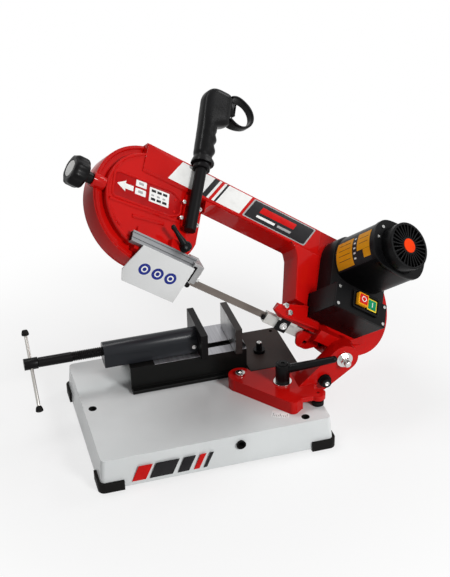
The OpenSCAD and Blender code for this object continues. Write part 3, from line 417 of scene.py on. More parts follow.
# %% Printed finishes
def printed(name, slot, colour, deep, roughness=0.38):
    """Ink on vinyl: fine grain, faint blotches, and a few rubbed spots where the film is duller."""
    finish = Finish(name, slot, roughness, Specular_IOR_Level=0.1)
    grain = finish.noise(2200, 2)
    blotch = finish.noise(60, 4).ramp(0.4, 0.75)
    finish.feed("Base Color", finish.mix(blotch * 0.7 + (grain - 0.5) * 0.2, colour, deep))
    finish.feed("Roughness", roughness + blotch * 0.12)
    finish.bump(grain, 0.008)
    return finish


white_film = printed("white_film", "pale_paint", tint(236, 236, 234), tint(224, 224, 221))
scale_film = printed("scale_film", "pale_paint", tint(240, 240, 238), tint(226, 228, 232))
grey_film = printed("grey_film", "pale_paint", tint(168, 168, 168), tint(150, 150, 150))
black_film = printed("black_film", "black_paint", tint(38, 37, 39), tint(28, 27, 29))
red_film = printed("red_film", "red_paint", tint(200, 20, 18), tint(182, 12, 12))
deep_red_film = printed("deep_red_film", "red_paint", tint(168, 10, 12), tint(150, 6, 8))
blue_film = printed("blue_film", "pale_paint", tint(40, 52, 134), tint(32, 42, 112))
orange_film = printed("orange_film", "orange_cap", tint(240, 164, 26), tint(226, 146, 16))
yellow_film = printed("yellow_film", "orange_cap", tint(232, 204, 60), tint(214, 186, 48))
print("with films:", len(bpy.data.materials))

# %% [markdown]
# ## Finishes on the solids
# Each solid's slot in the record says what it is made of. The packed solids have knife-sharp edges, which
# no casting has, so a Weld joins their loose triangles and a narrow Bevel rounds the edges that turn
# sharply.

# %% Give every solid its finish and soft edges
plain = (red_paint, pale_paint, black_paint, brown_black, black_plastic, rubber, steel, bright, alloy,
         grey_block, iron, brass, copper_pack, orange_cap, red_button, green_button)
by_slot = {finish.slot: finish for finish in plain}
own_finish = {"vise_bed": bed_finish, "jaw_cover": cover_paint}
slot_of = {part["node"]: part["material_slot"] for part in frame["record"]["subparts"]}
edge_mm = {"base_tray": 1.0, "arm_frame": 2.2, "swivel_support": 1.4, "vise_bed": 1.2, "fixed_jaw": 1.0,
           "moving_jaw": 1.0, "switch_box": 1.2, "guide_bracket": 1.2}
PLAIN_EDGE_MM, SHARP_TURN, WELD_M = 0.5, 34, 0.00002


def soften(solid, width_mm, segments):
    """Joins the loose triangles, then rounds every edge that turns by more than SHARP_TURN degrees."""
    weld = solid.modifiers.new("weld", "WELD")
    weld.merge_threshold = WELD_M
    bevel = solid.modifiers.new("soft_edges", "BEVEL")
    bevel.width = width_mm / 1000
    bevel.segments = segments
    bevel.limit_method = "ANGLE"
    bevel.angle_limit = math.radians(SHARP_TURN)


for name, solid in nodes.items():
    solid.data.materials.clear()
    solid.data.materials.append(own_finish.get(name, by_slot[slot_of[name]]).material)
    soften(solid, edge_mm.get(name, PLAIN_EDGE_MM), 3 if name in edge_mm else 2)
print("finished solids:", len(slot_of))

# %% [markdown]
# ## From a grid of points to a mesh
# Every new piece below is a grid of points worked out with numpy: rows run along the piece and columns run
# round it. Typing faces by hand would be slow, and Blender's own primitives can't follow a formula. One
# helper joins neighbours into faces, closes the ends, merges the points that meet, and turns normals
# outward.


# %% Skin
MERGE_M, TINY = 1e-6, 1e-9


def skin(name, points, body, finish, ring=False, sharp=32):
    """Mesh from points (rows, columns, 3), or a stack of such grids. Columns close on themselves.

    Rows close too where ring is set. Otherwise one face closes the first row and one the last.
    """
    grid = np.asarray(points, float)
    grid = grid.reshape(-1, *grid.shape[-3:])
    copies, rows, columns = grid.shape[:3]
    index = np.arange(rows * columns).reshape(rows, columns)
    net = np.hstack([index, index[:, :1]])
    net = np.vstack([net, net[:1]]) if ring else net
    quads = np.stack([net[:-1, :-1], net[:-1, 1:], net[1:, 1:], net[1:, :-1]], -1).reshape(-1, 4)
    starts = np.arange(copies)[:, None, None] * rows * columns
    faces = (quads + starts).reshape(-1, 4).tolist()
    if not ring:
        faces += (index[[0, -1]] + starts).reshape(-1, columns).tolist()
    mesh = bpy.data.meshes.new(name)
    mesh.from_pydata(grid.reshape(-1, 3).tolist(), [], faces)
    work = bmesh.new()
    work.from_mesh(mesh)
    bmesh.ops.remove_doubles(work, verts=work.verts, dist=MERGE_M)
    bmesh.ops.recalc_face_normals(work, faces=work.faces)
    work.to_mesh(mesh)
    work.free()
    mesh.shade_smooth()
    mesh.set_sharp_from_angle(angle=math.radians(sharp))
    mesh.materials.append(finish.material)
    piece = bpy.data.objects.new(name, mesh)
    bpy.context.scene.collection.objects.link(piece)
    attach(piece, body)
    return piece


print("slots that a piece can take:", len(by_slot))

# %% [markdown]
# ## Outlines and plates
# Most cast and folded parts are an outline with some thickness. Blender's Bevel could round their rims
# later, but here a plate's rim is part of its formula, so each plate has the rim that suits its size.


# %% Outlines and slabs
def rounded(corners, reach, steps=5):
    """A polygon whose corners are curves. Each starts and ends at reach from its corner, and bends as
    (1 - t)^2 start + 2 t (1 - t) corner + t^2 end."""
    corner = np.array(corners, float)
    to_last = np.roll(corner, 1, 0) - corner
    to_next = np.roll(corner, -1, 0) - corner
    start = corner + to_last * reach / np.linalg.norm(to_last, axis=1, keepdims=True)
    end = corner + to_next * reach / np.linalg.norm(to_next, axis=1, keepdims=True)
    t = np.linspace(0, 1, steps)[None, :, None]
    curve = (1 - t) ** 2 * start[:, None] + 2 * t * (1 - t) * corner[:, None] + t ** 2 * end[:, None]
    return curve.reshape(-1, 2)


def inset(outline, amount):
    """The outline with each edge moved inwards: a point moves along the mean of its two edges' normals."""
    ahead = np.roll(outline, -1, 0) - outline
    area = (outline[:, 0] * ahead[:, 1] - outline[:, 1] * ahead[:, 0]).sum()
    normal = np.stack([ahead[:, 1], -ahead[:, 0]], 1) / np.linalg.norm(ahead, axis=1, keepdims=True)
    before = np.roll(normal, 1, 0)
    outward = (normal + before) / (1 + (normal * before).sum(1, keepdims=True))
    return outline - math.copysign(amount, area * amount) * outward


def slab(seat, outline, low, high, edge=0.1, steps=3):
    """A plate between two heights. Its rims are quarter rounds: inset = edge (1 - sin a) while the height
    rises by edge (1 - cos a), and the same turned over at the top."""
    angle = np.linspace(0, math.pi / 2, steps)
    inward = edge * np.concatenate([1 - np.sin(angle), 1 - np.cos(angle)])
    height = np.concatenate([low + edge * (1 - np.cos(angle)), high - edge * (1 - np.sin(angle))])
    outline = np.array(outline, float)
    rings = np.stack([inset(outline, amount) if amount > TINY else outline for amount in inward])
    heights = np.broadcast_to(height[:, None, None], (*rings.shape[:2], 1))
    return seat.at(np.concatenate([rings, heights], -1))


def box_outline(x0, y0, x1, y1):
    """The four corners of an upright rectangle."""
    return [(x0, y0), (x1, y0), (x1, y1), (x0, y1)]


print("a slab of four corners has", slab(stand, box_outline(0, 0, 1, 1), 0, 1).shape[0], "rings")

# %% [markdown]
# ## Turned shapes
# Screw heads, knobs and caps come off a lathe or out of a round mould. A profile of radii and heights is
# spun about an axis. A weight on each row lets the radius follow another shape there, a hexagon or a ring
# of lobes.


# %% Lathe helpers
def hexagon(angle):
    """Radius of a hexagon of unit flat radius: 1 / cos of the angle from the middle of the nearest flat."""
    return 1 / np.cos(angle % (math.pi / 3) - math.pi / 6)


def lobes(count, depth):
    """Radius that dips by depth between count lobes: 1 - depth (1 - cos(count angle)) / 2."""
    return lambda angle: 1 - depth * (1 - np.cos(count * angle)) / 2


def spun(seat, rows, shape=hexagon, sides=48):
    """Rows of (radius, height, weight) spun about z. Radius = r (1 + weight (shape(angle) - 1))."""
    radius, height, weight = (column[:, None] for column in np.array(rows, float).T)
    angle = np.arange(sides)[None, :] * 2 * math.pi / sides
    reach = radius * (1 + weight * (shape(angle) - 1))
    return seat.at(np.stack([reach * np.cos(angle), reach * np.sin(angle), height + 0 * angle], -1))


def socket_screw(seat, radius, high):
    """A cap screw's head: a round wall, a chamfer, and a hexagon recess that is half as wide."""
    rim, key, deep = 0.12 * radius, 0.5 * radius, 0.5 * high
    rows = [(0, 0, 0), (radius, 0, 0), (radius, high - rim, 0), (radius - rim, high, 0), (key, high, 1),
            (key, high - deep, 1), (0, high - deep, 0)]
    return spun(seat, rows, hexagon, 36)


def disc(seat, radius, low, high):
    """A round label with a softened rim."""
    rim = 0.3 * (high - low)
    return spun(seat, [(0, low, 0), (radius, low, 0), (radius, high - rim, 0), (radius - rim, high, 0),
                       (0, high, 0)])


print("a cap screw has", socket_screw(stand, 4, 4).shape[:2], "points")

# %% [markdown]
# ## Lines and frames
# A cast rib, a bead or a frame is one small section that follows a line. A curve object with a bevel does
# the same, but its section turns as the line bends. Here the side is always square to a chosen up
# direction.


# %% Path helpers
def carried(seat, path, profile, up, ring=False):
    """A profile (side, up) carried along a path. The side is square to the path and to the up direction."""
    path = np.array(path, float)
    if ring:
        ahead = np.roll(path, -1, 0) - np.roll(path, 1, 0)
    else:
        ahead = np.gradient(path, axis=0)
    ahead /= np.linalg.norm(ahead, axis=1, keepdims=True)
    side = np.cross(ahead, up)
    side /= np.linalg.norm(side, axis=1, keepdims=True)
    rise = np.cross(side, ahead)
    profile = np.array(profile, float)
    sideways = profile[None, :, :1] * side[:, None]
    upwards = profile[None, :, 1:] * rise[:, None]
    return seat.at(path[:, None] + sideways + upwards)


def round_profile(radius, sides=10):
    """A circle as a profile."""
    angle = np.arange(sides) * 2 * math.pi / sides
    return radius * np.stack([np.cos(angle), np.sin(angle)], 1)


def flat_path(outline, height):
    """An outline lifted to a height, as a path."""
    outline = np.array(outline, float)
    return np.column_stack([outline, np.full(len(outline), float(height))])


def bead(seat, outline, height, radius, ring=False):
    """A raised round line on a face, half sunk in it."""
    return carried(seat, flat_path(outline, height), round_profile(radius), Z_AXIS, ring)


print("a round section has", len(round_profile(1)), "points")

# %% [markdown]
# ## Saw band
# The band is a thin steel ribbon welded into a loop. It lies flat on both wheels, and between the guides it
# is twisted upright to cut. Teeth could be a bump, but the edge would stay straight. So the loop is one
# long grid with four points across it, and the lower edge goes up and down once for each tooth.

# %% Toothed band
BAND_WIDE, BAND_THICK = 13, 0.65
TEETH, TOOTH_STEPS, TOOTH_DEEP = 480, 3, 1.2
idler_x, wheel_y = bow.of(joints["idler_spin"]["pos_m"])[:2]
drive_x = bow.of(joints["drive_spin"]["pos_m"])[0]
TWIST_IN = (idler_x + 30, -316)
TWIST_OUT = (-83, drive_x - 6)


def ease(value, start, end):
    """Smooth step from 0 at start to 1 at end: t^2 (3 - 2 t)."""
    t = np.clip((value - start) / (end - start), 0, 1)
    return t * t * (3 - 2 * t)


def toothed_band():
    """Two straight runs and two half circles. Each section is a thin rectangle, turned by the twist."""
    run = drive_x - idler_x
    half = math.pi * wheel_y
    step = np.arange(TOOTH_STEPS * TEETH)
    s = step * 2 * (run + half) / (TOOTH_STEPS * TEETH)
    zones = [s < run, s < run + half, s < 2 * run + half]
    quarter = math.pi / 2 + 0 * s
    angle = np.select(zones, [-quarter, (s - run) / wheel_y - quarter, quarter],
                      (s - 2 * run - half) / wheel_y + quarter)
    centre = np.select(zones, [idler_x + s, drive_x + 0 * s, drive_x - (s - run - half)], idler_x)
    twist = -bow_lean * ease(centre, *TWIST_IN) * (1 - ease(centre, *TWIST_OUT)) * zones[0]
    parts = (np.cos(angle), np.sin(angle), twist, centre)
    out_x, out_y, twist, centre = (part[:, None] for part in parts)
    gullet = np.choose(step % TOOTH_STEPS, [0, TOOTH_DEEP, 0.5 * TOOTH_DEEP])[:, None]
    thick = BAND_THICK * np.array([0, 1, 1, 0])[None]
    wide = BAND_WIDE / 2 * np.array([-1, -1, 1, 1])[None] + gullet * np.array([1, 1, 0, 0])[None]
    x = centre + out_x * (wheel_y + thick)
    y = wheel_y + out_y * (wheel_y + thick * np.cos(twist) + wide * np.sin(twist))
    z = wide * np.cos(twist) + out_y * thick * np.sin(twist)
    return bow.at(np.stack([x, y, z], -1))


band = skin("toothed_band", toothed_band(), "arm", band_steel, ring=True)
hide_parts("saw_band")
print("band points:", len(band.data.vertices))

# %% [markdown]
# ## Vise screw
# The jaw is driven by a screw, and its thread shows next to the cover. A texture would leave the outline
# straight. So the thread is cut into a black sleeve: the radius falls and rises with the distance to the
# helix, and one grid of sections along the axis holds both the plain part and the thread.

# %% Threaded sleeve
SLEEVE_R, THREAD_DEEP, THREAD_PITCH = 8.8, 1.3, 3.2
SLEEVE_FROM, THREAD_FROM, SLEEVE_TO = -263, -206, -150.6
_, screw_y, screw_z = stand.of(joints["screw_turn"]["pos_m"])
screw_seat = stand.moved(0, screw_y, screw_z).end()


def threaded_sleeve(rows=260, sides=40):
    """Radius = SLEEVE_R - deep (1 + cos(2 pi x / pitch - angle)) / 2. The cut fades in at THREAD_FROM."""
    x = np.linspace(SLEEVE_FROM, SLEEVE_TO, rows)[:, None]
    angle = np.arange(sides)[None, :] * 2 * math.pi / sides
    cut = THREAD_DEEP * ease(x, THREAD_FROM, THREAD_FROM + THREAD_PITCH)
    radius = SLEEVE_R - cut * (1 + np.cos(2 * math.pi * x / THREAD_PITCH - angle)) / 2
    return np.stack([radius * np.cos(angle), radius * np.sin(angle), x + 0 * angle], -1)


skin("screw_sleeve", screw_seat.at(threaded_sleeve()), "screw", black_paint, sharp=50)
print("thread turns:", round((SLEEVE_TO - THREAD_FROM) / THREAD_PITCH, 1))

# %% [markdown]
# ## Handle bar and jaw face
# The screw is turned by a cross bar that slips through its head, and flared rubber caps keep the bar in.
# The caps are one profile, spun at both ends. The fixed jaw is painted, but its gripping face is bare
# milled iron.

# %% Bar caps and jaw face
slip = np.array(joints["bar_slip"]["axis"], float)
bar_middle = np.array(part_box("tommy_bar")).sum(0) / 2
bar_seat = Seat(bar_middle, X_AXIS, -np.cross(slip, X_AXIS), slip)
bar_low, bar_high = bar_seat.span("bar_caps")
cap_rows = [(0, 0, 0), (4.4, 0, 0), (6.2, 0.8, 0), (6.7, 2.2, 0), (6.2, 5.5, 0), (4.8, 9.4, 0), (3.6, 9.8, 0),
            (0, 9.8, 0)]
cap_low = spun(bar_seat.moved(0, 0, bar_low[2]), cap_rows)
cap_high = spun(bar_seat.moved(0, 0, bar_high[2]).tipped(X_AXIS, (0, -1, 0)), cap_rows)
caps = skin("bar_end_caps", np.stack([cap_low, cap_high]), "tommy", rubber)
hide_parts("bar_caps")

jaw_low, jaw_high = stand.span("fixed_jaw")
jaw_face = stand.moved(jaw_low[0], 0, 0).end()
RIM = 1.5
face_plan = box_outline(jaw_low[1] + RIM, BED_TOP_M * 1000 + 1, jaw_high[1] - RIM, jaw_high[2] - RIM)
skin("fixed_jaw_face", slab(jaw_face, face_plan, -0.22, 0.3), "base", milled)
print("bar is", round(float(bar_high[2] - bar_low[2]), 1), "mm long over its caps")

# %% [markdown]
# ## Tension knob
# The knob that tightens the band is moulded with eight shallow scallops for the fingers and has a pale disc
# pressed into its end. A lathe row gets more of the lobe shape where the grip is, and none at the neck.

# %% Knob and its disc
knob_low, knob_high = bow.span("tension_knob")
knob_y, knob_z = (knob_low[1:] + knob_high[1:]) / 2
knob_r = (knob_high[1] - knob_low[1]) / 2
knob_seat = bow.moved(knob_low[0], knob_y, knob_z).end()
knob_shares = [(0, 0.4, 0), (0.55, 0.4, 0), (0.58, 0, 0), (0.80, 0, 0.5), (0.93, 1.6, 1), (0.99, 5, 1),
               (1, 9, 1), (1, 19, 1), (0.97, 22.5, 1), (0.86, 25.5, 0.8), (0.55, 27.5, 0.3), (0.38, 29.5, 0),
               (0.35, 39.4, 0), (0.15, 39.4, 0), (0.15, 66, 0), (0, 66, 0)]
knob_rows = [(share * knob_r, height, weight) for share, height, weight in knob_shares]
knob = skin("scalloped_knob", spun(knob_seat, knob_rows, lobes(8, 0.085), 96), "tension", black_plastic)
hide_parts("tension_knob")
disc_rows = [(0, 2, 0), (13.6, 2, 0), (13.6, 0.2, 0), (13.0, -0.4, 0), (7, -0.9, 0), (0, -1.0, 0)]
skin("knob_disc", spun(knob_seat, disc_rows), "tension", white_film)
print("knob radius", round(float(knob_r), 1))

# %% [markdown]
# ## Handle
# The handle is a black pistol grip on a tube, with finger grooves below and a loop that guards the trigger.
# Grip and head are one moulding, so they are one row of sections: left side, right side and depth are
# functions of the height. Subdividing a box by hand would take many more steps.

# %% Grip and head
tube_x, _, tube_z = bow.middle("handle_tube")
tube_end = bow.span("handle_tube")[1][1]
TUBE_IN_GRIP, GRIP_LEAN = 12, 3
GRIP_HIGH, GRIP_HALF, GRIP_DEEP, HEAD_X = 151, 17.4, 15.2, 40.5
GROOVE_DEEP, GROOVE_PITCH = 1.9, 22
grip_seat = bow.moved(tube_x, tube_end - TUBE_IN_GRIP, tube_z).turned(GRIP_LEAN)


def quarter(y, start, reach, amount):
    """Falls from 0 to amount along a quarter ellipse: amount (1 - sqrt(1 - t^2)), t = (y - start) / reach."""
    t = np.clip((y - start) / reach, 0, 1)
    return amount * (1 - np.sqrt(1 - t * t))


def grip_sections(rows=120, sides=48):
    """Sections along y. Each is a soft square (|cos|^p, |sin|^p) between a left and a right side.

    The right side has finger grooves, a cosine, and then swings out to the head. The foot has a collar.
    """
    y = GRIP_HIGH * np.sin(np.linspace(0, math.pi / 2, rows))[:, None]
    foot = 2.0 * np.exp(-(y / 7) ** 2) - 1.4 * np.exp(-((y - 13) / 4) ** 2)
    groove = GROOVE_DEEP * np.cos(2 * math.pi * (y - 6) / GROOVE_PITCH) * (1 - ease(y, 58, 70))
    left = -GRIP_HALF + 1.2 * ease(y, 10, 90) - foot + quarter(y, 120, 31, 25)
    right = GRIP_HALF + groove + foot + (HEAD_X - GRIP_HALF) * ease(y, 74, 95) - quarter(y, 142, 9, 8)
    deep = GRIP_DEEP + foot - 1.0 * ease(y, 70, 110) - quarter(y, 140, 11, 8)
    angle = np.arange(sides)[None, :] * 2 * math.pi / sides
    power = 0.84 - 0.26 * ease(y, 70, 96)
    cos, sin = (np.sign(wave) * np.abs(wave) ** power for wave in (np.cos(angle), np.sin(angle)))
    return np.stack([(left + right) / 2 + (right - left) / 2 * cos, y + 0 * cos, deep * sin], -1)


grip = skin("pistol_grip", grip_seat.at(grip_sections()), "arm", black_plastic, sharp=60)
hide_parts("grip_front", "grip_back")
print("grip starts", round(float(tube_end - TUBE_IN_GRIP), 1), "mm up the bow")

# %% [markdown]
# ## Loop and trigger
# The loop is a rounded strap that follows an oval and ends inside the head, so that the trigger has room to
# move. A torus would be round in section, and the real strap is flat. The trigger is a plate with a curved
# outline, and it rides on its own body.

# %% Guard loop and trigger
LOOP_X, LOOP_Y, LOOP_WIDE, LOOP_HIGH = 56, 125, 31, 26.6
LOOP_THICK, LOOP_HALF, LOOP_GROWS, LOOP_REACH = 2.4, 8.0, 5.0, 126


def guard_loop():
    """A strap round an oval, open where it meets the head. Its rounded section widens towards the head."""
    turn_by = np.radians(np.linspace(-LOOP_REACH, LOOP_REACH, 64))[:, None]
    cos, sin = np.cos(turn_by), np.sin(turn_by)
    section = rounded(box_outline(-1, -1, 1, 1), 0.5)
    out = LOOP_THICK * section[None, :, 0]
    side = (LOOP_HALF + LOOP_GROWS * ease(-cos, -0.5, 0.6)) * section[None, :, 1]
    return np.stack([LOOP_X + (LOOP_WIDE + out) * cos, LOOP_Y + (LOOP_HIGH + out) * sin, side], -1)


skin("grip_loop", grip_seat.at(guard_loop()), "arm", black_plastic, sharp=50)
TRIGGER = [(38, 115.5), (49, 115.5), (52.5, 118), (48.5, 123), (47.6, 129), (49, 137), (53, 141), (49, 142.5),
           (38, 142.5)]
trigger_plate = slab(grip_seat, rounded(TRIGGER, 1.4), -4, 4, 1.2, 4)
trigger = skin("curved_trigger", trigger_plate, "trigger_body", black_plastic)
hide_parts("trigger")
print("loop is open by", 2 * (180 - LOOP_REACH), "degrees at the head")

# %% [markdown]
# ## Face of the bow
# The bow is one casting. Its face has a proud front plate on the beam, a sunk panel on the drum with a bead
# round it, and ribs below. The solid holds the main steps, and a bevel would round only those. Plates and
# beads on top of it catch the light as cast edges do.

# %% Plate, panel, ribs and ridges
COVER_TO_FACE, PLATE_PROUD, PANEL_PROUD = 41, 2.6, 0.25
BEAM_LOW, BEAM_HIGH = 140.8, 190.4
bow_front = bow.span("rear_cover")[1][2] + COVER_TO_FACE
beam_face, panel_top = bow_front + PLATE_PROUD, bow_front + PANEL_PROUD
beam_plate = rounded([(-452, BEAM_LOW), (-77, BEAM_LOW), (-77, BEAM_HIGH), (-451, BEAM_HIGH)], 4)
skin("beam_front_plate", slab(bow, beam_plate, bow_front - 0.5, beam_face, 1.6, 5), "arm", red_paint)
panel = rounded([(-497.5, 115), (-494, 72.5), (-386, 83), (-369, 92), (-370, 117), (-390, 125)], 6)
skin("drum_panel", slab(bow, panel, bow_front - 0.3, panel_top), "arm", deep_red_film)
panel_bead = bead(bow, inset(panel, -1.6), bow_front - 0.4, 2.4, ring=True)
skin("drum_panel_bead", panel_bead, "arm", red_paint, ring=True)

RIB_R, RIB_SUNK = 3.6, 1.4
RIBS = {
    "rib_long": [(-499, 64.5), (-470, 67.6), (-430, 72.0), (-390, 76.4), (-366, 79.6)],
    "rib_middle": [(-453, 52.2), (-430, 56.2), (-410, 59.8), (-394, 62.8)],
    "rib_beam": [(-452, 139.6), (-430, 139.8), (-400, 140.2), (-340, 140.4)],
    "rib_arc": [(-494, 51), (-488, 42.5), (-480, 35), (-470, 28)],
}
for name, line in RIBS.items():
    skin("drum_" + name, bead(bow, line, bow_front - RIB_SUNK, RIB_R), "arm", red_paint)
RIDGE_R, RIDGE_SUNK, RIDGE_FROM, RIDGE_TO = 2.8, 0.6, 100, 262
DRUM_STEP, DRUM_DROP = 10, 4
drum_middle = np.array((idler_x, wheel_y - DRUM_DROP))
round_left = np.radians(np.linspace(RIDGE_FROM, RIDGE_TO, 60))
for name, radius, height in (("inner", 84.6, bow_front), ("outer", 99.4, bow_front - DRUM_STEP)):
    arc = drum_middle + radius * np.stack([np.cos(round_left), np.sin(round_left)], 1)
    skin("drum_ridge_" + name, bead(bow, arc, height - RIDGE_SUNK, RIDGE_R), "arm", red_paint)
print("bow face at", round(float(bow_front), 2), "mm with", len(RIBS), "ribs")

# %% [markdown]
# ## Labels on the drum
# The panel carries an arrow for the way the band runs, and plates with bars. A picture could be mapped on
# it, but here each label is a thin slab with its own outline and finish. So it can be recoloured or left
# off.

# %% Panel labels
FILM, LABEL_TURN, ARROW_TURN = 0.2, 5.4, 5


def label(name, seat, corners, low, finish, body, reach=0.6, proud=0.22):
    """A thin printed shape on a face: a slab with small corner curves."""
    return skin(name, slab(seat, rounded(corners, reach, 4), low - FILM, low + proud, 0.06), body, finish)


ARROW = [(0, 0), (16.5, -9.5), (16, -4.6), (31, -4.6), (31, 4.6), (16, 4.6), (16.5, 9.5)]
arrow_seat = bow.moved(-491.5, 95.5, 0).turned(ARROW_TURN)
label("panel_arrow", arrow_seat, ARROW, panel_top, white_film, "arm", 0.8)
PLATES = {
    "panel_plate_upper": [(-457.6, 106), (-437.5, 108), (-438.6, 119.2), (-458.6, 117.2)],
    "panel_plate_lower": [(-456.4, 91.4), (-436.3, 93.4), (-437.3, 104.6), (-457.4, 102.6)],
    "panel_plate_wide": [(-429.4, 90.4), (-391.5, 94.0), (-394.2, 119.6), (-432, 116.0)],
}
for name, corners in PLATES.items():
    label(name, bow, corners, panel_top, white_film, "arm", 1.2)
wide_seat = bow.moved(*PLATES["panel_plate_wide"][0], 0).turned(LABEL_TURN)
BAR_START, BAR_STEP = np.array((3.6, 3.4)), np.array((11, 7.4))
BAR_ROWS = [(8.4, 4.4, black_film), (5.2, 3.0, grey_film), (8.4, 4.4, black_film)]
for row, (wide, high, film) in enumerate(BAR_ROWS):
    for column in range(3):
        x0, y0 = BAR_START + BAR_STEP * (column, row)
        bar = box_outline(x0, y0, x0 + wide, y0 + high)
        label("panel_bar_%d_%d" % (row, column), wide_seat, bar, panel_top + FILM, film, "arm", 0.5)
for name, x0, y0 in (("upper", -452.5, 110.6), ("lower", -451.3, 96.0)):
    mark_seat = bow.moved(x0, y0, 0).turned(LABEL_TURN)
    label("panel_mark_" + name, mark_seat, box_outline(0, 0, 9, 4.2), panel_top + FILM, grey_film, "arm", 0.5)
RIVETS = [(-381.5, 114.2), (-379.5, 92.8)]
rivet_rows = [(0, -0.3, 0), (2.2, -0.3, 0), (2.2, 0.5, 0), (1.6, 1.0, 0), (0, 1.2, 0)]
rivets = [spun(bow.moved(x, y, panel_top), rivet_rows, sides=24) for x, y in RIVETS]
skin("panel_rivets", np.stack(rivets), "arm", red_film)
print("plates on the panel:", len(PLATES))

# %% [markdown]
# ## Stripes on the beam
# The beam carries broad slanted stripes in white, black and red. They are plain bars that lean the same
# way, each a thin slab, so that they can be recoloured one by one.

# %% Beam stripes
LEAN = 22
STRIPE_LOW, STRIPE_HIGH = BEAM_LOW + 4.5, BEAM_HIGH - 3
LINE_LOW, LINE_HIGH = STRIPE_LOW + 9, STRIPE_LOW + 14


def stripe(name, x0, x1, finish, low=STRIPE_LOW, high=STRIPE_HIGH, lift=0.0, reach=0.6):
    """A bar across the beam from x0 to x1 that leans by LEAN over the beam's height."""
    slope = LEAN / (STRIPE_HIGH - STRIPE_LOW)
    foot, top = slope * (low - STRIPE_LOW), slope * (high - STRIPE_LOW)
    corners = [(x0 + foot, low), (x1 + foot, low), (x1 + top, high), (x0 + top, high)]
    label("stripe_" + name, bow, corners, beam_face + lift, finish, "arm", reach)


stripe("white", -404, -256, white_film)
stripe("black_narrow", -336, -326, black_film, lift=FILM)
stripe("red_narrow", -321, -315, red_film, lift=FILM)
stripe("black_thin", -310, -306, black_film, lift=FILM)
stripe("grey_edge", -250, -111, grey_film, reach=3)
stripe("black_wide", -247, -114, black_film, STRIPE_LOW + 2, STRIPE_HIGH - 2, FILM, 2.4)
stripe("red_bar", -226, -150, red_film, STRIPE_LOW + 20, STRIPE_HIGH - 9, 2 * FILM)
stripe("white_bar", -226, -186, white_film, LINE_LOW, LINE_HIGH, 2 * FILM)
stripe("grey_bar", -180, -150, grey_film, LINE_LOW, LINE_HIGH, 2 * FILM)
print("beam face at", round(float(beam_face), 2), "mm")

# %% [markdown]
# ## Strut front and cover knobs
# The strut that joins the beam to the drive end is a broad box with a flat front, and it swings into the
# beam with a soft corner. The solid has its core, and this casting wraps it. Behind, three lobed knobs hold
# the wheel cover: a plain round post would look like a stand-in.

# %% Strut front and cover knobs
STRUT = [(-142, BEAM_LOW + 1), (-127, 134), (-121, 121), (-117, 84), (-112.5, 40), (-86, 38), (-86, 63),
         (-74.5, 63), (-74.5, BEAM_LOW + 1)]
STRUT_BACK = -12
skin("strut_front", slab(bow, rounded(STRUT, 2.2), STRUT_BACK, beam_face - 0.1, 1.6, 5), "arm", red_paint)
cover_back = bow.span("rear_cover")[0][2]
back_seat = bow.tipped(X_AXIS, (0, -1, 0))
COVER_KNOBS = [(-472, 144), (-150, 165.5), (66, 133)]
star_rows = [(0, 0, 0), (5.2, 0, 0), (5.2, 1.8, 0), (8.4, 2.6, 0.6), (9.0, 4.2, 1), (9.0, 7.6, 1),
             (8.2, 9.6, 1), (5, 11.2, 0.4), (3.2, 11.6, 0), (2.8, 12.2, 0), (0, 12.3, 0)]
stars = [spun(back_seat.moved(x, -y, -cover_back), star_rows, lobes(6, 0.24), 72) for x, y in COVER_KNOBS]
star_knobs = skin("cover_star_knobs", np.stack(stars), "arm", black_plastic, sharp=40)
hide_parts("cover_knobs")
print("star knobs:", len(stars))

# %% [markdown]
# ## Guide bar
# The left guide slides on a drawn alloy bar. Drawing leaves grooves along it. They could be cut from a box,
# but the bar is one outline with grooves, stretched along the bow, as it comes out of the die.

# %% Guide bar and its plug
rail_low, rail_high = bow.span("guide_bar")
rail_seat = bow.end()
y0, z0 = rail_low[1:]
y1, z1 = rail_high[1:]
GROOVE = 1.1
RAIL = [(y0, z0), (y1, z0), (y1, z0 + 3.4), (y1 - GROOVE, z0 + 4), (y1 - GROOVE, z1 - 4), (y1, z1 - 3.4),
        (y1, z1), (y1 - 3.2, z1), (y1 - 3.8, z1 - GROOVE), (y1 - 6.4, z1 - GROOVE), (y1 - 7, z1),
        (y0 + 7, z1), (y0 + 6.4, z1 - GROOVE), (y0 + 3.8, z1 - GROOVE), (y0 + 3.2, z1), (y0, z1)]
grooved_bar = skin("grooved_guide_bar", slab(rail_seat, RAIL, rail_low[0], rail_high[0], 0.3), "guide", alloy)
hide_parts("guide_bar")
plug_plan = rounded(box_outline(y0 + 1.6, z0 + 1.4, y1 - 2, z1 - 1.6), 1.2)
bar_plug = slab(rail_seat, plug_plan, rail_low[0] - 0.5, rail_low[0] + 3, 0.3)
skin("guide_bar_plug", bar_plug, "guide", black_plastic)
print("guide bar is", round(float(rail_high[0] - rail_low[0]), 1), "mm long")

# %% [markdown]
# ## Right guide and its bracket
# The fixed guide is a grey block in a dark clamp with a plated nut, and a cast bracket holds it under the
# bow. The bracket's tab has a round hole. A Boolean would cut it too, but four rings of points give a clean
# rim.

